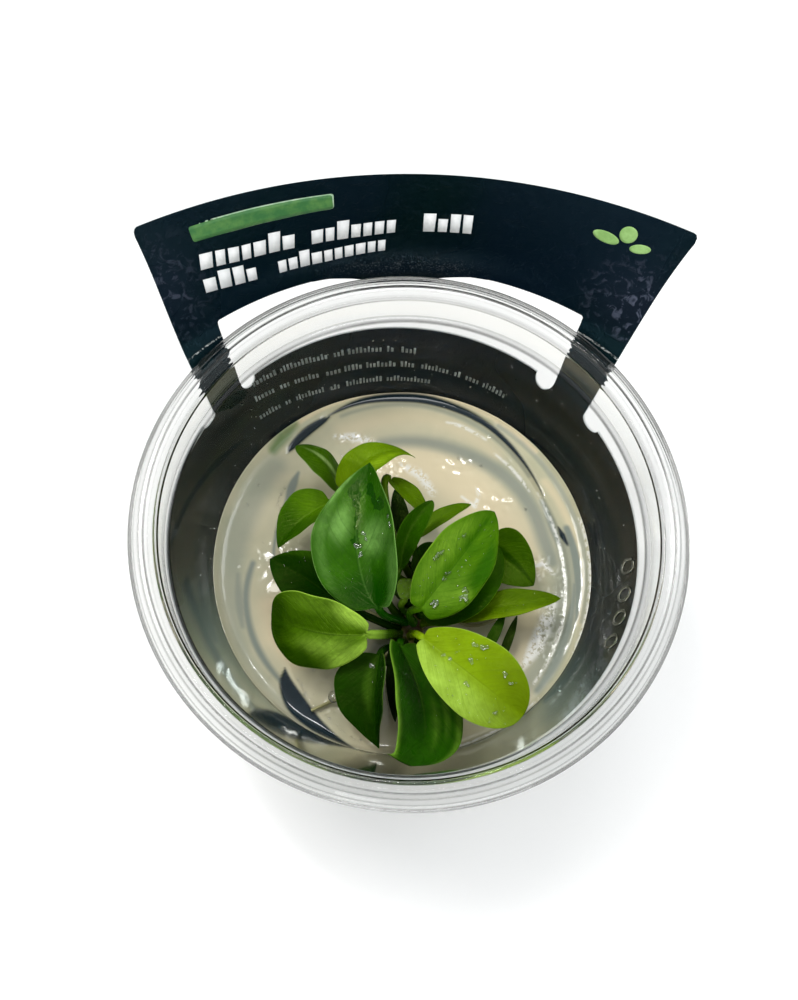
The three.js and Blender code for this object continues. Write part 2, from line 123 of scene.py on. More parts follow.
class Finish:
    """A node material under construction, with a Principled shader."""

    def __init__(self, name, **sockets):
        self.material = bpy.data.materials.new(name)
        self.material.use_nodes = True
        self.tree = self.material.node_tree
        self.shader = self.tree.nodes["Principled BSDF"]
        self.finish(**sockets)

    def set(self, node, sockets):
        for key, value in sockets.items():
            socket = node.inputs[key.replace("_", " ") if isinstance(key, str) else key]
            if isinstance(value, Value):
                self.tree.links.new(value.socket, socket)
            else:
                socket.default_value = value

    def node(self, kind, sockets=(), output=0, **properties):
        """Adds a node and gives one of its outputs."""
        node = self.tree.nodes.new("ShaderNode" + kind)
        for key, value in properties.items():
            setattr(node, key, value)
        self.set(node, dict(sockets))
        return Value(self, node.outputs[output])

    def layers(self, colour, *more):
        """A colour with others laid over it, each given with its share."""
        for share, over in more:
            colour = self.node("Mix", {0: share, 6: colour, 7: over}, 2, data_type="RGBA")
        return colour

    def noise(self, scale, detail=2.0, roughness=0.5, distortion=0.0, place=None):
        return self.node("TexNoise", {
            "Vector": place or self.node("TexCoord", output="Object"), "Scale": scale,
            "Detail": detail, "Roughness": roughness, "Distortion": distortion})

    def attribute(self, name):
        return self.node("Attribute", output="Fac", attribute_name=name)

    def finish(self, **sockets):
        self.set(self.shader, sockets)
        return self.material


def clear_plastic(name, index, mirror=0.0):
    """Clear plastic with painted shade at the moulding's corners, and mirrors at grazing angles."""
    f = Finish(name, Transmission_Weight=1.0, IOR=index)
    ripple = f.noise(90, 2).bump(0.00006, 0.5)
    # Painted shade: dark lines at the moulding's corners, standing in for what refraction shows
    # there
    shade = f.attribute("shade") * f.noise(45, 3).grade(0.3, 0.6, 0.86, 1.0)
    f.finish(Base_Color=f.layers((0.9, 0.905, 0.895, 1), (shade, (0.01, 0.01, 0.006, 1))),
             Roughness=f.noise(260, 3, 0.55).grade(0.3, 0.8, 0.01, 0.05), Normal=ripple)
    if mirror:
        grazing = f.node("LayerWeight", {"Blend": 0.5}, "Facing").grade(0.62, 0.84)
        tint = f.layers((0.5, 0.86, 0.84, 1), (grazing, (0.97, 0.98, 0.9, 1)))
        gloss = f.node("BsdfGlossy", {"Color": tint, "Roughness": 0.11, "Normal": ripple})
        clear = Value(f, f.shader.outputs[0])
        both = f.node("MixShader", {0: grazing * mirror, 1: clear, 2: gloss})
        f.set(f.tree.nodes["Material Output"], {"Surface": both})
    return f.material


def gel_matter():
    f = Finish("gel_matter", IOR=1.36, Specular_IOR_Level=0.6, Coat_Weight=0.7, Coat_Roughness=0.03)
    cloud = f.noise(70, 3, 0.6, 0.4)
    ragged = f.noise(1100, 3, 0.65).grade(0.41, 0.5)
    # Painted shade in see-through arcs, a painted leaf reflection, painted shade under the plant
    # and painted glints lie among the gel's tones
    colour = f.layers(
        srgb(190, 188, 158), (cloud.grade(0.3, 0.7), srgb(207, 200, 169)),
        (f.attribute("warm"), srgb(226, 212, 177)), (f.attribute("painted_see_through"), srgb(136, 144, 134)),
        # A painted leaf reflection, then painted shade under the plant
        (f.attribute("painted_leaf_reflection"), srgb(88, 122, 66)), (f.attribute("under"), srgb(44, 56, 22)),
        # Painted glints, broken up by noise
        (f.attribute("painted_glint") * ragged, srgb(244, 243, 236)),
        (f.attribute("dark"), srgb(22, 38, 46)))
    return f.finish(Base_Color=colour, Roughness=cloud.grade(0.3, 0.7, 0.05, 0.1),
                    Normal=f.noise(420, 2, 0.6).bump(0.00008, 0.35))


FOLD, FOLD_REACH = 0.255, (0.016, 0.004)  # where a leg is creased, as a share of its length


def card_print():
    f = Finish("card_print", IOR=1.45, Specular_IOR_Level=0.24, Specular_Tint=(0.4, 0.8, 1, 1))
    crinkle, patchy, grit = f.noise(330, 4, 0.65, 0.6), f.noise(24, 2, 0.5), f.noise(2600, 3, 0.7)
    dimple = f.noise(520, 3, 0.6, 0.8).grade(0.5, 0.68)
    shine = f.attribute("shine")
    fold = abs(f.attribute("leg") - FOLD).grade(*FOLD_REACH)
    colour = f.layers(
        srgb(1, 16, 18), (patchy.grade(0.35, 0.65), srgb(2, 13, 26)),
        (f.noise(1500, 1).grade(0.74, 0.8, 0, 0.25), srgb(38, 46, 54)),
        # Painted glints along the lower edge
        (f.attribute("card_glint") * grit.grade(0.52, 0.66) * 0.5, srgb(120, 128, 132)),
        (fold * grit.grade(0.48, 0.6), srgb(205, 208, 205)),
        # Painted highlights on the crinkles near the sides
        (shine * 0.35, srgb(38, 42, 58)), (shine * dimple * 0.6, srgb(104, 110, 130)))
    return f.finish(Base_Color=colour, Roughness=patchy.grade(0.3, 0.7, 0.2, 0.32),
                    Normal=dimple.bump(0.0001, 0.4, Normal=crinkle.bump(0.0002, 0.5)))


def card_edge():
    f = Finish("card_edge", Roughness=0.75, Specular_IOR_Level=0.3)
    fibre = f.noise(900, 3, 0.6)
    return f.finish(Base_Color=f.layers(srgb(206, 212, 212), (fibre, srgb(238, 241, 240))))


def ink(name, light, worn):
    f = Finish(name, IOR=1.45, Specular_IOR_Level=0.3, Roughness=0.4)
    share = f.noise(420, 3, 0.65).grade(0.35, 0.7)
    return f.finish(Base_Color=f.layers(srgb(*worn), (share, srgb(*light))),
                    Normal=f.noise(330, 4, 0.65, 0.6).bump(0.0002, 0.5))


def leaf_skin(name, base, lit, deep, sheen, gloss):
    """Waxy leaf skin, read by the UV map's u across and v along, and by the leaf's marks."""
    f = Finish(name, IOR=1.45, Specular_IOR_Level=gloss, Specular_Tint=(0.8, 1, 0.2, 1),
               Coat_Weight=sheen, Coat_Roughness=0.12)
    base, lit, deep = srgb(*base), srgb(*lit), srgb(*deep)
    darker = tuple(a * 0.45 + b * 0.55 for a, b in zip(base, deep))
    u = f.node("SeparateXYZ", {"Vector": f.node("UVMap", uv_map="leaf")})
    v = Value(f, u.socket.node.outputs[1])
    off = abs(u - 0.5)
    mottle, grain = f.noise(190, 4, 0.62, 0.5), f.noise(1500, 2, 0.5)
    # Side veins and streaks curve forward from the midrib
    forward = v - off ** 1.25 * 0.95 + f.noise(75, 2, 0.5) * 0.1
    lines = f.node("CombineXYZ", {"X": forward * 24.0, "Y": u * 3.5})
    streak = f.noise(1.0, 3.0, 0.6, place=lines).grade(0.36, 0.64)
    vein = (forward * 7.0).math("PINGPONG", 0.5).grade(0.44, 0.495)
    # Painted light where the leaf's lit marks are
    painted_light = f.attribute("lit") * mottle.grade(0.3, 0.7, 1.0, 0.6) * streak.grade(0.0, 1.0, 1.0, 0.84)
    film = (f.attribute("film") + (f.noise(640, 3, 0.6) - 0.5) * 1.8).grade(0.46, 0.56)
    # Painted shade beside the midrib, as if in its groove
    painted_rib_shade = abs(u - 0.487).grade(0.014, 0.002) * v.grade(0.95, 0.5)
    rib, margin = off.grade(0.02, 0.0) * v.grade(0.9, 0.2), off.grade(0.486, 0.499)
    # Painted light, painted shade that is also glossier, and painted shade beside the midrib lie
    # among the leaf's own tones
    colour = f.layers(
        base, (mottle.grade(0.35, 0.68), darker), (streak * 0.22, darker), (painted_light, lit),
        (f.attribute("wet_and_shade"), deep), (film * 0.9, deep), (grain.grade(0.35, 0.75, 0, 0.15), deep),
        (vein * off.grade(0.47, 0.3) * 0.28, deep), (painted_rib_shade * 0.5, deep), (rib * 0.12, lit),
        (margin * 0.6, lit))
    relief = mottle + streak * -0.14
    skin = grain.bump(0.00005, 0.6, Normal=relief.bump(0.0004, 0.75))
    rough = mottle.grade(0.3, 0.7, 0.26, 0.42) - f.attribute("wet_and_shade").math("MAXIMUM", film) * 0.14
    return f.finish(Base_Color=colour, Roughness=rough, Normal=skin, Coat_Normal=skin)


def rhizome_bark():
    f = Finish("rhizome_bark", Roughness=0.5, Specular_IOR_Level=0.4)
    patchy = f.noise(330, 4, 0.65)
    colour = f.layers(srgb(62, 44, 16), (patchy.grade(0.35, 0.65), srgb(92, 96, 30)),
                      (f.attribute("lit"), srgb(164, 160, 112)))
    return f.finish(Base_Color=colour, Normal=patchy.bump(0.0003, 0.7))


def water():
    f = Finish("water", Transmission_Weight=1.0, IOR=1.36, Base_Color=(1, 1, 1, 1),
               Coat_Weight=1.0, Coat_IOR=1.75, Coat_Roughness=0.02)
    return f.finish(Roughness=f.noise(300, 1).grade(0.4, 0.8, 0.0, 0.02))


# Meshes

def mesh_piece(name, points, faces, materials, replaces=(), slots=None, marks=None, uv=None):
    """A smooth mesh from points in mm, riding on the body and standing for CAD nodes."""
    mesh = bpy.data.meshes.new(name)
    mesh.from_pydata((np.asarray(points, float) * MM).tolist(), [], faces)
    for material in materials:
        mesh.materials.append(material)
    mesh.polygons.foreach_set("use_smooth", [True] * len(mesh.polygons))
    if slots is not None:
        mesh.polygons.foreach_set("material_index", slots)
    for key, values in (marks or {}).items():
        layer = mesh.attributes.new(key, "FLOAT", "POINT")
        layer.data.foreach_set("value", np.asarray(values, np.float32))
    if uv is not None:
        corners = np.empty(len(mesh.loops), np.int32)
        mesh.loops.foreach_get("vertex_index", corners)
        mesh.uv_layers.new(name="leaf").data.foreach_set("uv", np.asarray(uv)[corners].ravel())
    mesh.update()
    piece = bpy.data.objects.new(name, mesh)
    bpy.context.collection.objects.link(piece)
    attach(piece, "root")
    if replaces:
        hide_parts(*replaces)
    return piece


def strip_faces(rows, columns, first=0, wrap=True):
    """Quads of a grid stored row by row."""
    last = columns if wrap else columns - 1
    return [
        (first + k * columns + i, first + k * columns + (i + 1) % columns,
         first + (k + 1) * columns + (i + 1) % columns, first + (k + 1) * columns + i)
        for k in range(rows - 1) for i in range(last)]


def closed_rings(rings, around, first=0):
    """Faces of rings of points that are followed by one point for each end."""
    faces = strip_faces(rings, around, first)
    end, poles = first + (rings - 1) * around, first + rings * around
    for i in range(around):
        j = (i + 1) % around
        faces += [(poles, first + j, first + i), (poles + 1, end + i, end + j)]
    return faces


def shifted(faces, by):
    return [tuple(i + by for i in face) for face in faces]


def circle(count):
    return [TURN * i / count for i in range(count)]


def turned(profile, around):
    """Points and faces of a body of revolution; the profile starts and ends on the axis."""
    inner = profile[1:-1]
    points = [(r * math.cos(a), r * math.sin(a), z) for r, z, _ in inner for a in circle(around)]
    points += [(0, 0, profile[0][1]), (0, 0, profile[-1][1])]
    return points, closed_rings(len(inner), around)


def rounded(profile, radius, steps=4):
    """A profile with its corners rounded off."""
    result = [profile[0]]
    for before, corner, after in zip(profile, profile[1:], profile[2:]):
        b, c, a = (np.array(p, float) for p in (before, corner, after))
        to_b, to_a = np.linalg.norm((b - c)[:2]), np.linalg.norm((a - c)[:2])
        start = c + (b - c) / to_b * min(radius, 0.45 * to_b)
        end = c + (a - c) / to_a * min(radius, 0.45 * to_a)
        for t in np.linspace(0, 1, steps + 1):
            result.append(tuple((1 - t) ** 2 * start + 2 * t * (1 - t) * c + t * t * end))
    return result + [profile[-1]]


def smoothstep(x, low, high):
    t = np.clip((np.asarray(x, float) - low) / (high - low), 0, 1)
    return t * t * (3 - 2 * t)


def lerp(a, b, t):
    return a + (b - a) * t


def unit(v):
    return v / np.linalg.norm(v)


def curve_through(points, steps):
    p = [np.array(q, float) for q in points]
    p = [2 * p[0] - p[1]] + p + [2 * p[-1] - p[-2]]
    fine = []
    for p0, p1, p2, p3 in zip(p, p[1:], p[2:], p[3:]):
        for t in np.linspace(0, 1, steps, endpoint=False):
            fine.append(0.5 * (2 * p1 + (p2 - p0) * t + (2 * p0 - 5 * p1 + 4 * p2 - p3) * t * t
                               + (3 * p1 - p0 - 3 * p2 + p3) * t ** 3))
    return fine + [p[-2]]


# Cup

WALL, THROAT_R, THROAT_Z, FLOOR_R, FLOOR_Z, CORNER_R, RIM_R = 0.6, 43.9, 39.6, 32.7, 0.7, 2.0, 50.5


def cone_radius(z):
    return lerp(FLOOR_R, THROAT_R, (z - FLOOR_Z) / (THROAT_Z - FLOOR_Z))


def corner_arc(z0, out, radius, steps=8):
    start = cone_radius(z0) + out - radius
    arc = []
    for i in range(steps + 1):
        a = i / steps * math.pi / 2
        z = z0 + radius * (1 - math.cos(a))
        arc.append((lerp(start + radius * math.sin(a), cone_radius(z) + out, i / steps), z))
    return arc


# Radius, height from the rim's plane, and how strong a painted shade line is there
RIM_SECTION = [
    (cone_radius(RIM_Z - 6.8) + WALL, -6.8, 0.2), (45.35, -6.15, 0.6), (45.38, -5.85, 0),
    (45.8, -0.6, 0), (46.12, -0.12, 0.3), (46.4, -0.1, 0), (46.9, -0.02, 0), (47.65, 0.5, 0),
    (48.5, 0.45, 0), (49.3, -0.15, 0), (49.88, -0.45, 0), (49.9, -1.8, 0.8), (RIM_R, -1.8, 0.9),
    (RIM_R, -0.15, 0.7), (50.36, 0.02, 0.1), (49.6, 0.3, 0), (49.45, 0.42, 0.7), (49.3, 0.55, 0),
    (48.75, 0.9, 0), (48.55, 1.05, 0.5), (48.42, 1.13, 0.6), (48.25, 1.2, 0), (47.85, 1.2, 0),
    (47.75, 1.19, 0.8), (47.6, 1.14, 0.95), (47.46, 1.02, 0.8), (47.36, 0.92, 0), (47.1, 0.68, 0),
    (46.9, 0.6, 0.2), (46.7, 0.59, 0), (45.8, 0.52, 0), (45.6, 0.4, 0.35), (45.26, -0.22, 0.45),
    (45.17, -0.45, 0), (44.84, -5.3, 0), (44.66, -5.62, 0.1), (44.4, -5.83, 0.1),
    (44.2, -5.94, 0.6), (44.0, -6.06, 0.95), (THROAT_R, THROAT_Z - RIM_Z, 0.9)]


def make_cup(rim_plastic, wall_plastic, around=192):
    lip = [(r, RIM_Z + z, shade) for r, z, shade in RIM_SECTION]
    levels = [THROAT_Z - 0.25, *np.linspace(THROAT_Z - 0.5, FLOOR_Z + CORNER_R, 8)[:-1]]
    profile = [
        (0, 0, 0), *[(r, z, 0) for r, z in corner_arc(0, WALL, CORNER_R + WALL)],
        *rounded(lip, 0.12), (cone_radius(levels[0]), levels[0], 0.6),
        *[(cone_radius(z), z, 0) for z in levels[1:]],
        *[(r, z, 0) for r, z in corner_arc(FLOOR_Z, 0, CORNER_R)[::-1]], (0, FLOOR_Z, 0)]
    points, faces = turned(profile, around)
    # Painted shade for the corner lines, one value for each ring of the profile
    shade = [row[2] for row in profile[1:-1] for _ in range(around)] + [0, 0]
    slots = [int(max(points[v][2] for v in face) < THROAT_Z) for face in faces]
    mesh_piece("cup_wall", points, faces, [rim_plastic, wall_plastic], ["cup"], slots,
               {"shade": shade})


# Card sleeve. A place along the header is the azimuth of its foot, and the left leg comes first

CARD, GAP = 0.45, 0.4
CARD_LIMITS = (51.3, 58.44, 67.99)
BAND_TOP, BAND_BOTTOM, BAND_TILT, TILT_TOWARD = 37.1, 16.5, 1.6, 80
LEG_ROOTS, LEG_FEET = ((-55.4, -45.4), (54.9, 43.7)), ((-49.6, -41), (50.6, 40.4))
LEG_BEND = (8.5, 6)
NOTCHES = ((-60.2, -55.4, 0.8), (-45.4, -41, 2), (38.1, 43.7, 3.1), (54.9, 60.7, 1.6))
HEADER_FOOT, HEADER_TOP, HEADER_CORNER, HEADER_SKEW, SIDE_DRAW = 45.3, 67.9, 1.7, 1.2, 2.7
# The header's arc at the rim's height, its radius and the y of its centre, and their gain per mm
HEADER_R, HEADER_R_GAIN, HEADER_Y, HEADER_Y_GAIN = 64.4, 2, -12, -1.736
OPENING_CORNER = 0.9
# The tongue's reach down, step by step from its middle
TONGUE, TONGUE_MIDDLE, TONGUE_STEP = (3, 2.6, 1.3, 0.3, 0), -0.3, 5.09
LEG_STEPS = [0, 0.03, 0.08, 0.14, 0.22, 0.35, 0.5, 0.65, 0.8, 0.9, 0.97, 1]
CORNER_STEPS = (0.06, 0.16, 0.3, 0.46, 0.64)  # extra columns beside the legs
LEG_ROWS, HEADER_ROWS, BAND_ROWS = 16, 20, 8


def band_height(mean, az):
    return mean - BAND_TILT * math.cos(math.radians(az - TILT_TOWARD))


def on_cone(az, z, out):
    r, a = cone_radius(z) + out, math.radians(az)
    return np.array([r * math.sin(a), r * math.cos(a), z])


def on_band(az, z, lift=0.0):
    """A point of the card's middle surface, or lift mm inside it."""
    return on_cone(az, z, WALL + GAP + CARD / 2 - lift)


def on_header(angle, z, lift=0.0):
    up = z - RIM_Z
    radius = HEADER_R + HEADER_R_GAIN * up - lift
    y = HEADER_Y + HEADER_Y_GAIN * up + radius * math.cos(angle)
    return np.array([radius * math.sin(angle), y, z])


def header_turn(az, z):
    angle = math.radians(az)
    for _ in range(12):
        x, y, _z = on_header(angle, z)
        angle += 0.8 * (math.radians(az) - math.atan2(x, y))
    return angle


def header_point(foot, z):
    rise = (z - HEADER_FOOT) / (HEADER_TOP - HEADER_FOOT)
    outer, inner = LEG_FEET[0 if foot < 0 else 1]
    beside = max(0, (foot - inner) / (outer - inner))
    draw = SIDE_DRAW * (1 - (1 - rise) ** 2) * beside * math.copysign(1, foot)
    return on_header(header_turn(foot + HEADER_SKEW * rise - draw, z), z)


def header_edge(foot):
    inset = math.radians(abs(LEG_FEET[0 if foot < 0 else 1][0] - foot)) * HEADER_TOP
    left = max(0, HEADER_CORNER - inset)
    return HEADER_TOP - HEADER_CORNER + math.sqrt(HEADER_CORNER ** 2 - left ** 2)


def notch_depth(az):
    for start, end, depth in NOTCHES:
        off = (2 * az - start - end) / (end - start)
        if abs(off) < 1:
            return depth * math.sqrt(1 - off ** 2)
    return 0


def below_header(foot):
    """How far the tongue and the round corners beside the legs reach down."""
    off = math.radians(min(foot - LEG_FEET[0][1], LEG_FEET[1][1] - foot)) * HEADER_TOP
    left = max(0, 1 - off / OPENING_CORNER)
    fillet = OPENING_CORNER * (1 - math.sqrt(1 - left * left))
    steps = abs(foot - TONGUE_MIDDLE) / TONGUE_STEP
    return float(np.interp(steps, range(len(TONGUE)), TONGUE)) + fillet


def on_leg(leg, f, t):
    foot, az = lerp(*LEG_FEET[leg], f), lerp(*LEG_ROOTS[leg], f)
    start = header_point(foot, HEADER_FOOT)
    end = on_band(az, band_height(BAND_TOP, az))
    leave = LEG_BEND[0] * unit(start - header_point(foot, HEADER_FOOT + 1))
    arrive = LEG_BEND[1] * unit(on_band(az, end[2] - 1) - end)
    ease = t * t * (3 - 2 * t)
    return start * (1 - ease) + leave * t * (1 - t) ** 2 + end * ease + arrive * t * t * (t - 1)


def band_azimuths():
    bends = [(1 - math.cos(a)) / 2 for a in np.linspace(0, math.pi, 13)]
    close = [lerp(start, end, k) for start, end, _depth in NOTCHES for k in bends]
    close += [lerp(*root, f) for root in LEG_ROOTS for f in LEG_STEPS[1:-1]]
    even = [az for az in np.arange(-180, 180, 1.5) if min(abs(az - near) for near in close) > 0.8]
    return sorted(close + even)


def make_card(front, edge):
    points, quads, leg_and_glints = [], [], []

    # Each point keeps its place along a leg, its painted glint and its painted highlight
    def add(p, leg=0.0, card_glint=0.0, shine=0.0):
        points.append(p)
        leg_and_glints.append((leg, card_glint, shine))
        return len(points) - 1

    def join(left, right):
        for i in range(min(len(left), len(right)) - 1):
            quads.append((left[i], left[i + 1], right[i + 1], right[i]))

    tops, band = {}, []
    for az in band_azimuths():
        top, bottom = band_height(BAND_TOP, az) - notch_depth(az), band_height(BAND_BOTTOM, az)
        band.append([add(on_band(az, lerp(top, bottom, k / BAND_ROWS)), 1.0)
                     for k in range(BAND_ROWS + 1)])
        tops[round(az, 3)] = band[-1][0]
    for i, column in enumerate(band):
        join(column, band[(i + 1) % len(band)])

    def card_glint_at(foot, z):
        """Painted glints along the lower edge's middle."""
        return math.exp(-(foot / 15) ** 4 - ((z - 46.6) / 1.6) ** 2)

    def shine_at(foot, z):
        """Painted highlights at two places near the sides, where the crinkles catch the light."""
        right = math.exp(-((foot - 49) / 9) ** 2 - ((z - 52) / 6.5) ** 2)
        return max(right, 0.5 * math.exp(-((foot + 47) / 6) ** 2 - ((z - 55) / 8) ** 2))

    def header_column(foot):
        heights = [lerp(header_edge(foot), HEADER_FOOT, (k / HEADER_ROWS) ** 1.3)
                   for k in range(HEADER_ROWS + 1)]
        return [add(header_point(foot, z), 0.0, card_glint_at(foot, z), shine_at(foot, z))
                for z in heights]

    def leg_column(leg, f):
        column = header_column(lerp(*LEG_FEET[leg], f))
        column += [add(on_leg(leg, f, i / LEG_ROWS), i / LEG_ROWS) for i in range(1, LEG_ROWS)]
        return column + [tops[round(lerp(*LEG_ROOTS[leg], f), 3)]]

    middle = []
    inner_left, inner_right = LEG_FEET[0][1], LEG_FEET[1][1]
    feet = [*np.linspace(inner_left, inner_right, 65)[1:-1]]
    feet += [inner_left + k for k in CORNER_STEPS] + [inner_right - k for k in CORNER_STEPS]
    for foot in sorted(feet):
        column = header_column(foot)
        reach = below_header(foot)
        if reach > 0.005:
            depths = [HEADER_FOOT - reach * k for k in (0.5, 1)]
            column += [add(header_point(foot, z), 0.0, card_glint_at(foot, z)) for z in depths]
        middle.append(column)
    columns = [leg_column(0, f) for f in LEG_STEPS] + middle
    columns += [leg_column(1, f) for f in LEG_STEPS[::-1]]
    for left, right in zip(columns, columns[1:]):
        join(left, right)

    points = np.array(points)
    normals = np.zeros_like(points)
    for a, b, c, d in quads:
        n = np.cross(points[c] - points[a], points[d] - points[b])
        normals[[a, b, c, d]] += n / (np.linalg.norm(n) + 1e-9)
    normals *= CARD / 2 / np.linalg.norm(normals, axis=1, keepdims=True)
    n = len(points)
    faces, slots, free = [], [], {}
    for a, b, c, d in quads:
        faces += [(a, b, c, d), (n + a, n + d, n + c, n + b)]
        slots += [0, 0]
        for s, e in ((a, b), (b, c), (c, d), (d, a)):
            if free.pop((e, s), None) is None:
                free[(s, e)] = True
    # The cut edge has corners of its own, so that it stays crisp
    shell = np.minimum(np.concatenate([points + normals, points - normals]), CARD_LIMITS)
    rim = sorted({v for pair in free for v in pair})
    place = {v: i for i, v in enumerate(rim)}
    base, m = len(shell), len(rim)
    for s, e in free:
        faces.append((base + place[s], base + m + place[s], base + m + place[e], base + place[e]))
        slots.append(1)
    leg_and_glints = np.concatenate([leg_and_glints, leg_and_glints, np.zeros((2 * m, 3))])
    mesh_piece("sleeve_card",
               np.concatenate([shell, shell[rim], shell[[n + v for v in rim]]]), faces,
               [front, edge], ["card_sleeve"], slots, dict(zip(("leg", "card_glint", "shine"), leg_and_glints.T)))


# What is printed on the card, as thin sheets

PRINT_LIFT, INK = CARD / 2 + 0.03, 0.02
TAG_ASPECT, TAG_CORNER = 8.2, 0.16  # width and corner as shares of the height


def patch(surface, edges, rows=1, columns=1, lift=PRINT_LIFT, corner=0.0):
    """A sheet between two edges, each a list of surface coordinates.

    With a corner, a share of its height, the sheet gets round corners.
    """
    shares = np.linspace(0, 1, columns + 1)
    if corner:
        shares = (1 - np.cos(shares * math.pi)) / 2
    grid = []
    for k in range(rows + 1):
        for t in shares:
            low, high = (np.array([np.interp(t, np.linspace(0, 1, len(edge)), axis)
                                   for axis in zip(*edge)]) for edge in edges)
            into = max(0, 1 - min(t, 1 - t) * TAG_ASPECT / corner) if corner else 0
            inset = corner * (1 - math.sqrt(1 - into * into))
            grid.append(surface(*lerp(low, high, lerp(inset, 1 - inset, k / rows)), lift))
    return grid, strip_faces(rows + 1, columns + 1, wrap=False)


def oval(surface, centre, long_axis, short_axis, around=28, rings=4):
    grid = [surface(*centre, PRINT_LIFT)]
    for k in range(1, rings + 1):
        for a in circle(around):
            grid.append(surface(*[
                c + k / rings * (m * math.cos(a) + n * math.sin(a))
                for c, m, n in zip(centre, long_axis, short_axis)], PRINT_LIFT))
    faces = [(0, 1 + (i + 1) % around, 1 + i) for i in range(around)]
    return grid, faces + strip_faces(rings, around, 1)


def sheets(name, material, patches):
    points, faces = [], []
    for grid, quads in patches:
        faces += shifted(quads, len(points))
        points += grid
    skin = mesh_piece(name, points, faces, [material]).modifiers.new(
        "ink", "SOLIDIFY")
    skin.thickness, skin.offset = INK * MM, 0


def bar_row(surface, spans, line, height, letter, space, lean=0.0):
    """A row of small blocks in word-like groups, along a line of (coordinate, z) points.

    Blocks lean towards the card's middle by their distance from it, as upright print does.
    """
    result = []
    for at, end in spans:
        while at + letter * 0.5 < end:
            wide = letter * rng.uniform(0.75, 1.1)
            tall = height * (1.4 if rng.random() < 0.25 else 1)
            z0, z1 = (np.interp(x, *zip(*line)) for x in (at, at + wide))
            tip = -lean * at * tall
            low, high = [(at, z0), (at + wide, z1)], [(at + tip, z0 + tall),
                                                      (at + wide + tip, z1 + tall)]
            result.append(patch(surface, (low, high)))
            at += wide + space
    return result


# Gel

GEL_TOP, MENISCUS, GEL_EDGE_GAP, GEL_BOTTOM = 17.8, 1.6, 0.06, FLOOR_Z + 0.05


def stroke(x, y, line, softness):
    """How much a point lies inside a brush line of (x, y, half width) points, from 0 to 1."""
    best = np.full_like(x, -1e9)
    for (x0, y0, w0), (x1, y1, w1) in zip(line, line[1:]):
        dx, dy = x1 - x0, y1 - y0
        t = np.clip(((x - x0) * dx + (y - y0) * dy) / (dx * dx + dy * dy), 0, 1)
        inside = lerp(w0, w1, t) - np.hypot(x - x0 - t * dx, y - y0 - t * dy)
        best = np.maximum(best, inside)
    return smoothstep(best, -softness, softness)


def polar(*points):
    """A smooth line through (azimuth, radius, half width) points, as (x, y, half width)."""
    return [(r * math.sin(math.radians(a)), r * math.cos(math.radians(a)), w)
            for a, r, w in curve_through(points, 5)]


def wander(x, y, scale, seed=0.0):
    return np.array([noise.noise(Vector((a / scale, b / scale, seed))) for a, b in zip(x, y)])


def cells(x, y, scale, seed):
    """Broken facets: 0 at the cracks between cells, rising inwards."""
    near = [noise.voronoi(Vector((a / scale, b / scale, seed)))[0] for a, b in zip(x, y)]
    return np.array([min(0.6, second - first) for first, second, *_ in near])


DARK_LINES = [
    polar((-43, 34.4, 0.1), (-40, 34.9, 0.75), (-33, 35.6, 0.95), (-27, 36, 0.7), (-24, 36.2, 0.2)),
    polar((-24, 36.5, 0.15), (-13, 37.2, 0.55), (1, 37.2, 0.8), (14, 37, 0.8), (29, 36.3, 0.65),
          (40, 35.3, 0.55), (53, 34, 0.3), (64, 33.1, 0.1)),
    [(32.3, 7.6, 0.15), (33.0, 5.8, 0.65), (33.9, 3.8, 0.3)],
    curve_through([(-24.1, -20.4, 0.1), (-23.9, -23.4, 1.3), (-22.0, -27.4, 2.0),
                   (-18.6, -31.2, 1.5), (-14.6, -34.3, 0.7), (-10.7, -36.7, 0.1)], 5),
    curve_through([(-23.6, -32, 0.1), (-20.6, -34, 0.25), (-16.6, -35.8, 0.3), (-12, -37.4, 0.1)],
                  4),
]
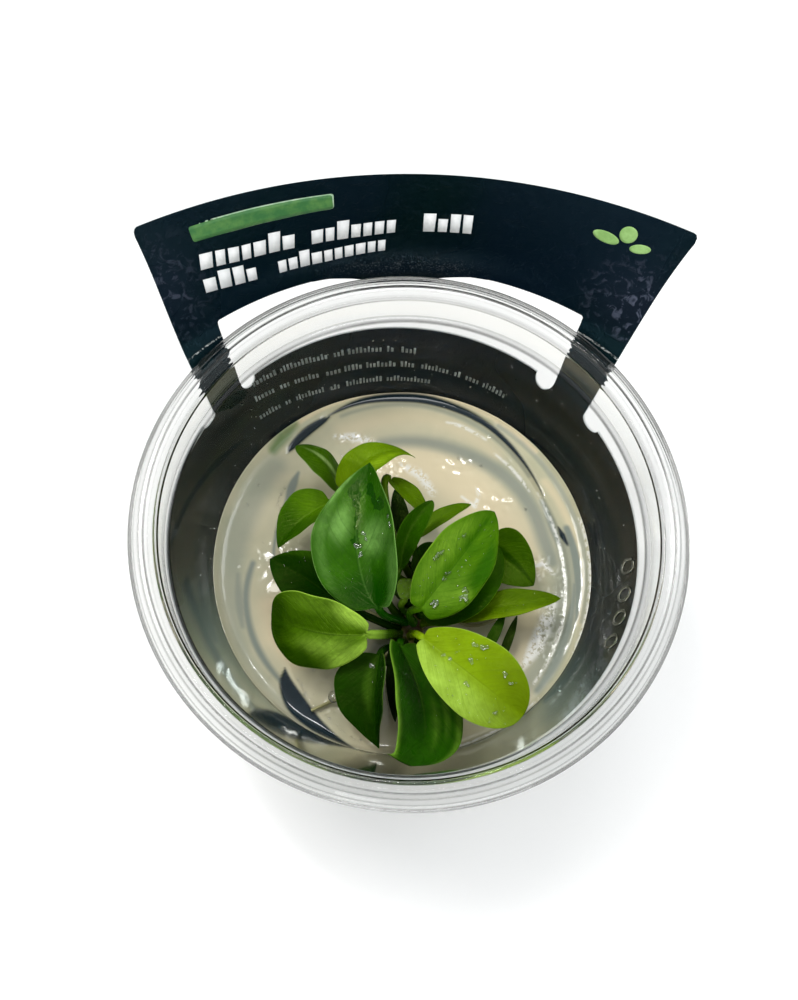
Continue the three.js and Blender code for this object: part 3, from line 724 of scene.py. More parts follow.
# Tones laid on the gel: lines, each with its strength and softness. Besides the warm and dark
# tones, they paint light and shade: grey see-through arcs, glints, a leaf's reflection and
# shade under the plant
TONES = {
    "dark": [(line, 1, 0.25) for line in DARK_LINES],
    # Painted shade: grey arcs where the cup's floor corner and the dark sleeve would show through
    # the gel
    "painted_see_through": [
        (polar((-8, 27.2, 1.2), (16, 27.6, 1.4), (30, 28, 1.5), (49, 29, 1.6), (63, 29.5, 1.6),
               (80, 29.6, 1.6), (90, 30.5, 1.4)), 0.8, 1.2),
        (polar((-20, 35.4, 0.3), (0, 35.8, 0.4), (20, 35.3, 0.5), (40, 34.1, 0.6), (55, 33, 0.4)),
         0.6, 0.5),
        (polar((-46, 29.6, 0.3), (-52, 28.6, 0.9), (-60, 27.4, 0.6), (-72, 26.9, 0.35),
               (-88, 26.4, 0.3), (-98, 25.6, 0.1)), 1, 0.35),
        (polar((-88, 30.6, 0.6), (-99, 32.3, 0.7), (-112, 33.4, 0.7), (-122, 33.8, 0.7),
               (-134, 33.9, 0.4)), 1, 0.6),
        (polar((-50, 34.5, 2.5), (-75, 34.6, 3), (-95, 35.2, 2.4), (-120, 36.4, 1.3),
               (-150, 37, 1.4)), 0.55, 1.8),
        (polar((78, 34.8, 0.7), (90, 35.4, 0.9), (103, 36, 0.7), (112, 36.4, 0.2)), 1, 0.4),
        (polar((35, 37, 0.4), (60, 36.8, 0.5), (85, 37, 0.5), (110, 37.4, 0.4)), 0.6, 0.3),
        (polar((84, 33, 2.2), (110, 33, 2.4), (135, 34, 2.4)), 0.65, 2.5),
        (polar((66, 32.2, 0.6), (76, 32, 1), (86, 32.5, 0.6)), 0.95, 0.8),
        (polar((98, 35, 0.6), (112, 35.2, 1.1), (124, 35.8, 1.2), (136, 36.4, 0.8)), 0.95, 0.8),
        (polar((-92, 33.6, 0.8), (-102, 33.9, 1.3), (-110, 34.6, 0.8)), 0.8, 1)],
    "warm": [
        (polar((-14, 23, 4), (20, 22, 5), (60, 22, 5), (90, 24, 3)), 1, 4),
        (polar((-20, 32, 2), (10, 33, 2), (40, 31.5, 1.5)), 0.7, 2),
        (polar((-40, 37.8, 0.4), (-10, 38.1, 0.3), (20, 37.9, 0.4), (50, 37.4, 0.5)), 1, 0.3),
        (polar((60, 35, 0.8), (80, 35.8, 0.8), (110, 36.6, 0.8)), 0.8, 0.8),
        ([(-27, -8, 2.2), (-26, -14, 2.4), (-22, -19, 1.5)], 1, 1.8),
        ([(24, -8, 2.5), (24, -16, 3), (20, -24, 2.5)], 0.7, 2.5),
        (polar((138, 33, 2.5), (165, 34, 4), (195, 34, 3)), 0.5, 2.5)],
    # Painted glints: white patches and lines where the rippled gel and its edge catch the light
    "painted_glint": [
        ([(-13.4, 28.6, 0.4), (-9.5, 28.4, 1), (-5.6, 27.4, 0.4)], 1, 0.6),
        ([(22.8, -21.5, 0.4), (25.6, -17.6, 1.5), (28.4, -12, 1.3), (30.4, -7.2, 0.5)], 1, 0.7),
        ([(26.2, -1.2, 0.3), (28.6, -0.2, 0.5), (30.4, -2.4, 0.3)], 1, 0.4),
        ([(0.5, 21.8, 0.5), (4.2, 19.6, 1), (6.6, 15.6, 0.6)], 0.9, 0.8),
        ([(12.6, 14.6, 0.2), (15.2, 12.4, 0.4), (16.2, 14.8, 0.3), (15.8, 17, 0.1)], 0.9, 0.4),
        (polar((18, 33.2, 0.2), (24, 33.4, 0.4), (34, 33, 0.2)), 0.8, 0.3),
        (polar((40, 31.4, 0.2), (52, 31.2, 0.35), (60, 31, 0.1)), 0.8, 0.3),
        (polar((62, 32.3, 0.1), (75, 32.2, 0.25), (95, 32.8, 0.25), (115, 34, 0.25),
               (135, 35, 0.2)), 0.8, 0.3),
        (polar((138, 37.6, 0.15), (150, 37.6, 0.22), (162, 37.7, 0.22), (174, 37.9, 0.12)), 1,
         0.15),
        (polar((76, 37.75, 0.25), (95, 37.9, 0.3), (120, 38, 0.25)), 0.8, 0.2)],
    # A painted reflection of a leaf, as the wall would mirror it onto the gel
    "painted_leaf_reflection": [(polar((-46, 36.8, 0.9), (-40, 37.4, 1.1), (-35, 37.8, 0.5)), 0.8, 0.8)],
    # Painted shade under the plant, where the gel lies in its shadow
    "under": [([(-8, -19.6, 1.6), (-3, -15.5, 3.2), (2.5, -9.5, 3.2), (4, -3, 2.5)], 0.8, 1.6)],
}
RIDGE = polar((35, 34, 0.2), (60, 32.2, 0.3), (85, 32.8, 0.3), (110, 34.2, 0.3), (130, 35, 0.2))
# Lines that lie below or above the surface: depth and softness
GROOVES = ((DARK_LINES[0], 0.3, 0.6), (DARK_LINES[1], 0.35, 0.6), (DARK_LINES[3], 0.2, 0.6),
           (RIDGE, -0.4, 0.7))
# Places where the surface is broken: centre, reach in x and y, cell size, height
BROKEN = [(-22.5, -2, 4.2, 8.5, 3.4, 1.1), (-13.5, -25, 5.5, 4.5, 3.0, 0.5)]
# Rippled places: the same, with the size of the ripples
RIPPLED = [
    (28.3, -12.5, 2, 7.5, 1.1, 0.5), (31.2, -6, 1, 6, 1, 0.3), (27.5, -1, 2.4, 2.5, 1, 0.4),
    (-9, 28, 4.8, 1.5, 1, 0.3), (19.5, 14.5, 5, 4.5, 1.6, 0.2), (13, 22, 6, 2.5, 1.5, 0.12),
    (-13, -26, 5, 5, 1.2, 0.25), (-2, 21.5, 3, 3, 1, 0.3), (18, 31, 5, 2, 1.4, 0.15)]


def climb(x, y):
    """How far the gel climbs the wall: more at the left, where it clings as a film."""
    turn_to_left = np.cos(np.arctan2(x, y) - math.radians(-100))
    return MENISCUS + 0.75 * smoothstep(turn_to_left, 0.0, 0.8)


def gel_height(x, y):
    high = climb(x, y)
    edge = cone_radius(GEL_TOP + high) - GEL_EDGE_GAP
    z = GEL_TOP + high * np.exp(-(edge - np.hypot(x, y)) / 0.9)
    z += 0.16 * wander(x, y, 8.0) + 0.05 * wander(x, y, 2.6, 3.1)
    for texture, places in ((cells, BROKEN), (wander, RIPPLED)):
        for cx, cy, rx, ry, size, tall in places:
            spot = np.exp(-(((x - cx) / rx) ** 2 + ((y - cy) / ry) ** 2) ** 1.5)
            if texture is cells:
                spot[spot <= 0.01] = 0
            z += spot * tall * texture(x, y, size, cx)
    for line, depth, softness in GROOVES:
        z -= depth * stroke(x, y, line, softness)
    return z


def on_gel(x, y):
    return np.array([x, y, gel_height(np.array([x]), np.array([y]))[0]])


def make_gel(matter, around=600):
    angles = np.array(circle(around))
    edge = cone_radius(GEL_TOP + climb(np.cos(angles), np.sin(angles))) - GEL_EDGE_GAP
    shares = [*np.linspace(0.03, 0.36, 10), *np.linspace(0.37, 0.97, 96),
              *np.linspace(0.975, 1, 7)]
    x = np.concatenate([r * edge * np.cos(angles) for r in shares])
    y = np.concatenate([r * edge * np.sin(angles) for r in shares])
    # Down the wall, round the corner and under
    lower = [(cone_radius(z) - GEL_EDGE_GAP, z)
             for z in np.linspace(GEL_TOP, FLOOR_Z + 0.4 + CORNER_R, 6)]
    lower += corner_arc(GEL_BOTTOM, -GEL_EDGE_GAP, CORNER_R)[::-1][1:]
    points = [*zip(x, y, gel_height(x, y)),
              *[(r * math.cos(a), r * math.sin(a), z) for r, z in lower for a in angles],
              on_gel(0.0, 0.0), (0, 0, GEL_BOTTOM)]
    marks = {}
    for key, lines in TONES.items():
        marks[key] = np.zeros(len(points))
        for line, strength, softness in lines:
            tone = strength * stroke(x, y, line, softness)
            marks[key][:len(x)] = np.maximum(marks[key][:len(x)], tone)
    faces = [f[::-1] for f in closed_rings(len(shares) + len(lower), around)]
    mesh_piece("gel_pad", points, faces, [matter], ["gel"], marks=marks)


# Rhizome and roots

class Spline:
    """A curve through points, read by its share of the length."""

    def __init__(self, *points):
        self.points = np.array(curve_through(points, 24))
        steps = np.linalg.norm(np.diff(self.points, axis=0), axis=1)
        self.reach = np.concatenate([[0], np.cumsum(steps)]) / steps.sum()

    def at(self, t):
        return np.array([np.interp(t, self.reach, self.points[:, k]) for k in range(3)])

    def tangent(self, t):
        return unit(self.at(min(1, t + 0.01)) - self.at(max(0, t - 0.01)))


def across_frame(tangent, hint):
    right = unit(hint - tangent * np.dot(hint, tangent))
    return right, np.cross(right, tangent)


def tube(spline, radius_at, steps, sides):
    """Points and faces of a closed round limb."""
    points = []
    for t in np.linspace(0, 1, steps + 1):
        right, top = across_frame(spline.tangent(t), np.array((0.3, 0.2, 1)))
        for a in circle(sides):
            points.append(spline.at(t)
                          + radius_at(t, a) * (math.cos(a) * right - math.sin(a) * top))
    return points + [spline.at(0), spline.at(1)], closed_rings(steps + 1, sides)


RHIZOME_LINE = Spline((-1.5, -19, 19.3), (0.5, -13.5, 19.8), (2.2, -7.5, 20), (4.2, -1.5, 20.6))
RHIZOME_R, SCARS, SCAR = 2.9, 5, 0.25
ROOTS = [
    Spline((-2, -17, 19.4), (-8, -21, 18.8), (-14, -26.5, 18.6), (-19, -29, 18.7)),
    Spline((0, -16, 19.4), (5, -21, 18.7), (9, -24, 18.6), (12, -28, 18.6)),
    Spline((3, -10, 19.6), (8, -11, 18.7), (13, -13, 18.6), (18, -12, 18.6)),
    Spline((-1, -12, 19.6), (-7, -10, 18.7), (-11, -6, 18.6), (-15, -3, 18.6)),
    Spline((4, -4, 19.8), (7, 0, 18.7), (9, 1, 18.6), (13, 0, 18.6)),
]


def rhizome_radius(t):
    end = min(1, t / 0.12, (1 - t) / 0.12)
    scarred = RHIZOME_R + SCAR * math.cos(TURN * SCARS * t)
    return scarred * math.sqrt(0.15 + 0.85 * end * (2 - end))


def make_rhizome(bark):
    def rough(t, a):
        lump = noise.noise(Vector((14 * t, 2 * math.cos(a), 2 * math.sin(a))))
        ring = 0.12 * max(0, math.cos(TURN * SCARS * t)) ** 8
        return rhizome_radius(t) * (1 + 0.06 * lump) + ring

    points, faces = tube(RHIZOME_LINE, rough, 60, 28)
    lit = [0.0] * len(points)
    for k, line in enumerate(ROOTS):
        def root(t, a, k=k):
            return lerp(0.5, 0.3, t) * (1 + 0.12 * noise.noise(Vector((9 * t, math.cos(a), k))))
        more, quads = tube(line, root, 40, 12)
        faces += shifted(quads, len(points))
        points += more
        lit += [0.85] * len(more)
    mesh_piece("rhizome_with_roots", points, faces, [bark], ["rhizome"],
               marks={"lit": lit})


# Leaves

PETIOLE_R, BLADE, LOBE, PETIOLE_RISE, PETIOLE_BEND = 0.75, 0.5, 0.06, 0.8, 0.25
STEM_U = 0.46  # where the petiole lies across the UV map
USUAL_LEAF = dict(
    bank=0, arch=0.1, fold=0.3, sway=0, hook=0, curl=0, blunt=0.5, point=0.7, via=None, wave=0.04,
    lit=(), wet_and_shade=(), film=(), sheen=0.0, gloss=0.22, rib=0, stem=1, crook=8, tail=0, shaded=0.8)


class Leaf:
    """The surface of one leaf, read by u across from -1 to 1 and v along from 0 to 1.

    Its shape starts as that of the CAD leaf: the ends of its blade, half its width and the place
    of its petiole on the rhizome. The colours are given as they show: plain, lit for painted light,
    and deep for painted shade and the leaf's own darker tones. The blade gets painted light and
    painted shade, the shade also glossier, at places of (u, v, reach in u, reach in v, strength).
    """

    def __init__(self, name, slot, base, tip, half, root, *colours, **changes):
        self.__dict__.update({**USUAL_LEAF, **changes})
        self.name, self.slot, self.half, self.root = name, slot, half, root
        self.colours = colours
        self.start = np.array(base, float)
        along = np.array(tip, float) - self.start
        self.length = np.linalg.norm(along)
        self.along = along / self.length
        side = unit(np.cross(self.along, (0, 0, 1)))
        a = math.radians(self.bank)
        self.side = side * math.cos(a) + np.cross(self.along, side) * math.sin(a)
        self.up = np.cross(self.side, self.along)
        self.phase = int(name[-2:]) * 1.7

    def outline(self, v):
        widest = self.blunt / (self.blunt + self.point)
        return (v / widest) ** self.blunt * (max(0, 1 - v) / (1 - widest)) ** self.point

    def blade(self, u, v, lift=0.0):
        width = max(self.half * self.outline(v), 0.15)
        bow = self.length * 4 * v * (1 - v)
        ripple = self.wave * self.half * math.sin(TURN * (2.3 * v + 0.2 * u) + self.phase)
        rise = (self.arch * bow + self.fold * width * abs(u) ** 1.5 - self.hook * v ** 4
                + ripple * abs(u) ** 2.5 * math.sin(math.pi * min(1, v)) + lift)
        lobe = LOBE * u * u * (1 - v) ** 4 * min(1, math.sqrt(v / 0.03))
        tail = self.tail * max(0, u) ** 9 * v ** 40
        sideways = u * width + self.sway * bow + self.curl * v ** self.crook + tail
        return (self.start + self.along * (self.length * (v - lobe) - 0.5 * tail)
                + self.side * sideways + self.up * rise)

    def from_rib(self, u):
        """Place across, from -1 to 1, with 0 on the midrib."""
        return u - self.rib * (1 - u * u)

    def relief(self, u, v):
        """Groove over the midrib and shallow troughs over the side veins, in mm."""
        width = self.half * self.outline(v)
        u = self.from_rib(u)
        rib = -0.3 * math.exp(-(u * width / 0.5) ** 2) * (1 - v) ** 0.5 * min(1, self.half / 4)
        beat = math.cos(TURN * 11 * (v - 0.4 * abs(u) ** 1.25))
        return rib - 0.02 * beat * (1 - u * u) * min(1, abs(u) * 4) * min(1, self.half / 5)

    def thick(self, u, v):
        return BLADE * (1 - 0.75 * u * u) * lerp(1.4, 0.7, v)

    def top(self, u, v):
        return self.blade(u, v, self.thick(u, v) / 2 + self.relief(u, v))

    def normal(self, u, v, step=0.02):
        du = self.top(min(1, u + step), v) - self.top(max(-1, u - step), v)
        dv = self.top(u, min(1, v + step)) - self.top(u, max(0.01, v - step))
        return unit(np.cross(du, dv))

    def petiole(self):
        root, tangent = RHIZOME_LINE.at(self.root), RHIZOME_LINE.tangent(self.root)

        def flat(d):
            return d - tangent * np.dot(d, tangent)

        outward = flat(self.start - root)
        outward[2] = max(outward[2], PETIOLE_RISE * math.hypot(outward[0], outward[1]))
        outward = unit(flat(outward))
        root = root + outward * (rhizome_radius(self.root) - 0.3)
        reach = np.linalg.norm(self.start - root) * PETIOLE_BEND
        heading = unit(self.along + self.up * 4 * self.arch)
        bend = np.array(self.via, float) if self.via else self.start - heading * reach
        rising = root + outward * reach
        t = np.linspace(0, 1, 60)[:, None]
        return ((1 - t) ** 3 * root + 3 * t * (1 - t) ** 2 * rising + 3 * t * t * (1 - t) * bend
                + t ** 3 * self.start)

    def build(self):
        columns = 25 if self.half > 3 else 13
        middle = np.linspace(0.06, 0.94, int(min(72, max(22, self.length * 2.4))))
        stations = [0.002, 0.008, 0.018, 0.03, 0.044, *middle, 0.96, 0.975, 0.987, 0.995, 1]
        even = np.linspace(-1, 1, columns)
        across = np.sin(even * math.pi / 2) * 0.35 + even * 0.65
        points, uv = [], []
        stem = self.petiole()
        last = len(stem) - 1
        rows = np.linspace(0, last - 3, 26).astype(int)
        n = 2 * columns
        for k in rows:
            tangent = unit(stem[min(k + 1, last)] - stem[max(k - 1, 0)])
            right, top = across_frame(tangent, self.side)
            swell = PETIOLE_R * (1 + 0.5 * max(0, 0.12 - k / last) / 0.12)
            for i in range(n):
                a = math.pi - TURN * (i + 0.5) / n
                radius = swell * (1 - 0.22 * math.exp(-((a - math.pi / 2) / 0.5) ** 2))
                points.append(
                    stem[k] + radius * (self.stem * math.cos(a) * right + math.sin(a) * top))
                uv.append((STEM_U, 0.0))
        for v in stations:
            for u in across:
                points.append(self.top(u, v))
                uv.append((self.from_rib(u) / 2 + 0.5, v))
            for u in -across:
                keel = 0.35 * math.exp(-(u * self.half / 0.6) ** 2) * (1 - v)
                points.append(self.blade(u, v, -self.thick(u, v) / 2 - keel))
                uv.append((u / 2 + 0.5, v))
        points += [np.mean(points[:n], axis=0), np.mean(points[-n:], axis=0)]
        uv = np.array([*uv, (STEM_U, 0.0), (0.5, 1.0)])
        u, v = uv[:, 0] * 2 - 1, uv[:, 1]
        marks = {key: np.zeros(len(u)) for key in ("lit", "wet_and_shade", "film")}
        for key in marks:
            for cu, cv, ru, rv, strength in getattr(self, key):
                spot = np.exp(-(((u - cu) / ru) ** 2 + ((v - cv) / rv) ** 2) ** 1.4)
                spot *= 1.1 if key == "lit" else 1.4
                if key == "wet_and_shade":
                    spot -= 0.3 * (0.5 + wander(u * 3, v * 9, 1.0, self.phase + cu))
                marks[key] = np.maximum(marks[key], strength * np.clip(spot, 0, 1))
        # The petiole gets painted shade towards its root, in the shade of the leaves
        along_stem = np.zeros(len(u))
        along_stem[:len(rows) * n] = np.repeat(np.linspace(1, 0, len(rows)), n)
        marks["wet_and_shade"] = np.maximum(marks["wet_and_shade"], self.shaded * smoothstep(along_stem, 0.0, 0.35))
        skin = leaf_skin(self.name + "_skin", *self.colours, self.sheen, self.gloss)
        mesh_piece("anubias_" + self.name, points,
                   closed_rings(len(rows) + len(stations), n), [skin], [self.name],
                   marks=marks, uv=uv)


LEAVES = [
    Leaf("leaf_01", "leaf_deep", (-6, -12, 32), (-6.9, 15.8, 34.8), 8.7, 0.34,
         (42, 92, 2), (124, 172, 86), (12, 60, 0), bank=-28, arch=0.12, fold=0.7, point=0.9,
         sheen=0.1, rib=-0.22,
         lit=((-0.36, 0.56, 0.24, 0.12, 0.85), (-0.8, 0.45, 0.12, 0.3, 0.3),
              (0.45, 0.44, 0.34, 0.11, 0.7), (-0.92, 0.82, 0.12, 0.14, 0.8),
              (0.88, 0.18, 0.14, 0.2, 0.5)),
         wet_and_shade=((0, 0.04, 0.9, 0.19, 1), (0, 0.98, 0.7, 0.2, 0.6)),
         film=((-0.28, 0.8, 0.24, 0.06, 0.95), (-0.1, 0.73, 0.11, 0.07, 0.95),
               (0, 0.6, 0.055, 0.17, 0.95), (-0.02, 0.43, 0.1, 0.03, 0.95),
               (0.42, 0.78, 0.2, 0.05, 0.95), (0.72, 0.65, 0.17, 0.05, 0.95),
               (0.56, 0.71, 0.11, 0.05, 0.95))),
    Leaf("leaf_02", "leaf_fresh", (2.1, -12.5, 31.8), (16.8, 5.6, 34), 7.3, 0.36,
         (72, 116, 4), (124, 164, 48), (30, 82, 0), via=(-1.5, -11, 24.5), bank=35, arch=0.06,
         fold=0.1, sway=-0.02,
         lit=((-0.6, 0.45, 0.35, 0.4, 0.5), (0.3, 0.25, 0.4, 0.2, 0.5),
              (0.68, 0.32, 0.2, 0.07, 0.9)),
         wet_and_shade=((0.75, 0.58, 0.3, 0.22, 0.9), (0, 0.35, 0.3, 0.1, 0.4),
              (-0.1, 0.75, 0.12, 0.2, 0.6))),
    Leaf("leaf_03", "leaf_fresh", (-8.4, -17.2, 31.6), (-26.1, -12.2, 28.5), 8, 0.18,
         (76, 114, 8), (164, 204, 74), (30, 60, 0), bank=-45, fold=0.1, sway=-0.02, blunt=0.47,
         point=0.36, via=(-3.6, -17.4, 31), shaded=0.95, stem=1.25,
         lit=((0.85, 0.12, 0.35, 0.2, 1), (-0.8, 0.14, 0.35, 0.24, 0.7),
              (0.8, 0.5, 0.3, 0.3, 0.1), (-0.4, 0.4, 0.25, 0.25, 0.5), (0, 0, 0.2, 0.03, 0.5)),
         wet_and_shade=((0, 1, 1.2, 0.24, 0.9), (-1, 0.7, 0.5, 0.4, 0.9), (0.2, 0.55, 0.3, 0.3, 0.4))),
    Leaf("leaf_04", "leaf_bright", (2.4, -18.5, 32.3), (20.1, -32.9, 30), 7.4, 0.23,
         (118, 148, 8), (164, 200, 80), (88, 112, 0), arch=0.08, sway=0.02, blunt=0.6, point=0.5,
         lit=((0.7, 0.35, 0.5, 0.5, 0.8),), wet_and_shade=((-0.6, 0.75, 0.5, 0.3, 0.4),)),
    Leaf("leaf_05", "leaf_dark", (-1.9, -18.5, 26.9), (0.4, -42, 34.6), 7.2, 0.14,
         (30, 78, 1), (116, 160, 48), (6, 42, 0), bank=-31, arch=-0.03, sway=-0.14, curl=1.8,
         crook=10, tail=3, blunt=0.4, point=0.25,
         lit=((0.98, 0.5, 0.1, 0.6, 1), (-0.95, 0.6, 0.12, 0.5, 0.5),
              (-0.3, 0.62, 0.1, 0.2, 0.3), (-0.6, 0.55, 0.08, 0.2, 0.3)),
         wet_and_shade=((0.3, 0.3, 0.4, 0.4, 0.7),)),
    Leaf("leaf_06", "leaf_dark", (-5.7, -20.2, 27), (-6.3, -37, 22.6), 6.5, 0.07,
         (22, 60, 1), (84, 126, 30), (6, 34, 0), bank=45, arch=0.08, fold=0.7, point=1,
         gloss=0.12, lit=((0.2, 0.35, 0.12, 0.25, 0.5),), wet_and_shade=((-0.6, 0.5, 0.4, 0.5, 0.6),)),
    Leaf("leaf_07", "leaf_dark", (-3.7, -21, 19.8), (-2.9, -31.6, 19), 1.1, 0.03,
         (18, 46, 4), (46, 76, 20), (8, 30, 2)),
    Leaf("leaf_08", "leaf_dark", (-14.3, -8.7, 25), (-26.6, -0.5, 25.8), 5.4, 0.25,
         (14, 50, 0), (60, 102, 8), (3, 32, 0), bank=-12, sway=0.04, point=0.8, gloss=0.08,
         lit=((0.9, 0.6, 0.2, 0.4, 0.5),)),
    Leaf("leaf_09", "leaf_deep", (-14.6, 10.6, 26.5), (-25.1, 2.1, 24.6), 4.5, 0.4,
         (54, 94, 0), (90, 132, 6), (26, 64, 0), bank=22, arch=0.14, fold=0.6, blunt=0.4,
         point=0.8, lit=((0.3, 0.2, 0.8, 0.25, 0.7),), wet_and_shade=((0.3, 0.8, 0.8, 0.3, 0.6),)),
    Leaf("leaf_10", "leaf_fresh", (-12.7, 14.4, 23.4), (-21.4, 22.7, 27.2), 3.5, 0.61,
         (56, 92, 0), (136, 160, 96), (28, 62, 0), bank=31, arch=0.15, fold=-0.1, sway=0.04,
         blunt=0.6, point=0.6, lit=((0.15, 0.5, 0.12, 0.35, 0.8),)),
    Leaf("leaf_11", "leaf_bright", (-12.3, 12.3, 29.6), (0.7, 19.8, 33.2), 4, 0.76,
         (92, 124, 0), (130, 164, 16), (66, 96, 0), via=(-8, 1.5, 30), bank=-16, arch=0.17,
         fold=0.1, sway=-0.06, hook=1.5, curl=2.2, crook=13, point=1,
         lit=((0.6, 0.6, 0.3, 0.35, 0.8), (0, 0.1, 0.8, 0.12, 0.4))),
    Leaf("leaf_12", "leaf_fresh", (-2.5, 15.2, 26.5), (3.9, 7.8, 27), 2.1, 0.86,
         (84, 118, 0), (122, 150, 20), (50, 78, 0), via=(-6, 18.5, 30.5), bank=-22, point=0.5),
    Leaf("leaf_13", "leaf_deep", (-1.4, -3.6, 29), (4.9, 7.9, 34.7), 2.3, 0.55,
         (44, 88, 2), (86, 128, 20), (18, 56, 0), via=(-3.5, -5.5, 26.5), bank=13, arch=0,
         fold=0.9, sway=-0.1, blunt=0.6, point=0.55),
    Leaf("leaf_14", "leaf_dark", (1.8, -3.7, 25.3), (6.8, 0.6, 27.8), 2.9, 0.9,
         (28, 68, 2), (56, 98, 14), (8, 42, 0), fold=0.5, blunt=0.6, point=0.4),
    Leaf("leaf_15", "leaf_fresh", (-0.4, -9.3, 27), (-0.2, -5.4, 27.1), 1.8, 0.44,
         (110, 152, 26), (190, 220, 120), (30, 60, 4), via=(-2.5, -10, 23), blunt=0.3, point=0.3,
         shaded=1, sheen=0.3),
    Leaf("leaf_16", "leaf_fresh", (2, 2.7, 28), (13.1, 9.3, 28), 1.8, 0.98,
         (78, 114, 4), (118, 148, 24), (40, 74, 0), bank=-22),
    Leaf("leaf_17", "leaf_deep", (2.9, -11.7, 23.9), (18.5, 1, 25.8), 7.2, 0.44,
         (34, 70, 0), (76, 112, 8), (14, 48, 0), bank=-6, arch=0.06, fold=0.1, sway=0.02,
         point=0.6, gloss=0.08, wet_and_shade=((0.2, 0.3, 1.2, 0.3, 0.8),)),
    Leaf("leaf_18", "leaf_dark", (17, 2.6, 21.8), (25.3, -6.2, 23), 5.5, 0.9,
         (52, 84, 0), (72, 106, 2), (26, 58, 0), bank=9, fold=0.5, blunt=0.3,
         wet_and_shade=((-0.15, 0.5, 0.12, 0.6, 0.9),)),
    Leaf("leaf_19", "leaf_fresh", (8.9, -12.2, 21), (30, -9.5, 25), 2.8, 0.39,
         (80, 110, 0), (118, 146, 8), (48, 76, 0), bank=-8, blunt=0.7, point=0.75, wave=0.12,
         lit=((0.9, 0.5, 0.25, 0.5, 0.6),)),
    Leaf("leaf_20", "leaf_deep", (14.6, -19.8, 22.5), (19.1, -11.8, 23.5), 1.1, 0.2,
         (32, 70, 2), (66, 102, 16), (14, 44, 0)),
    Leaf("leaf_21", "leaf_dark", (17.9, -21, 19.5), (21.8, -11.9, 21.3), 0.9, 0.05,
         (32, 56, 10), (60, 86, 26), (16, 36, 2)),
    Leaf("leaf_22", "leaf_dark", (-0.8, 3.2, 20), (-1.4, 15.2, 21.5), 2, 0.94,
         (10, 48, 2), (36, 80, 12), (3, 30, 1), bank=12),
]


# Drops and bubbles

# Large drops, as (u, v, width, height), and how many small ones are strewn
LARGE_DROPS = {
    "leaf_01": ((-0.2, 0.4, 0.55, 0.4), (-0.05, 0.48, 0.36, 0.2), (0, 0.44, 0.3, 0.2),
                (0.85, 0.48, 0.4, 0.3), (0.84, 0.54, 0.3, 0.25), (-0.15, 0.34, 0.35, 0.2)),
    "leaf_02": ((-0.65, 0.38, 0.55, 0.35), (-0.6, 0.43, 0.4, 0.3), (-0.05, 0.34, 0.5, 0.35),
                (-0.02, 0.29, 0.4, 0.3), (0.65, 0.34, 0.5, 0.35), (0.8, 0.3, 0.6, 0.35),
                (0.72, 0.27, 0.4, 0.3), (0.35, 0.1, 0.55, 0.25), (0.22, 0.09, 0.4, 0.2),
                (-0.4, 0.66, 0.35, 0.2)),
    "leaf_04": ((-0.75, 0.42, 0.5, 0.3), (-0.7, 0.35, 0.4, 0.25), (0.25, 0.48, 0.4, 0.3),
                (-0.3, 0.4, 0.4, 0.25), (-0.55, 0.68, 0.4, 0.25), (0, 0.26, 0.35, 0.2),
                (0.02, 0.2, 0.3, 0.2), (0.45, 0.8, 0.35, 0.2), (-0.5, 0.76, 0.35, 0.25)),
    "leaf_06": ((0.2, 0.12, 0.4, 0.2),)}
SMALL_DROPS = {"leaf_02": 46, "leaf_04": 44, "leaf_15": 30, "leaf_01": 14, "leaf_06": 10,
               "leaf_08": 10, "leaf_19": 8, "leaf_05": 8}
# Beads beside the dark crescent in the gel, and at its left edge
BEADS = (curve_through([(-21.6, -22.6), (-19.6, -26.2), (-15.8, -30.6), (-10, -35.2)], 7)
         + curve_through([(-24.2, 17), (-25.6, 14.5), (-24.8, 11.2), (-26, 8)], 4))
ROOT_DROP = (-14.6, -26.6, 19.4)
SPRAY_LEAN, WALL_LEAN = 0.28, 0.288  # how the spray and the ovals lean with the wall


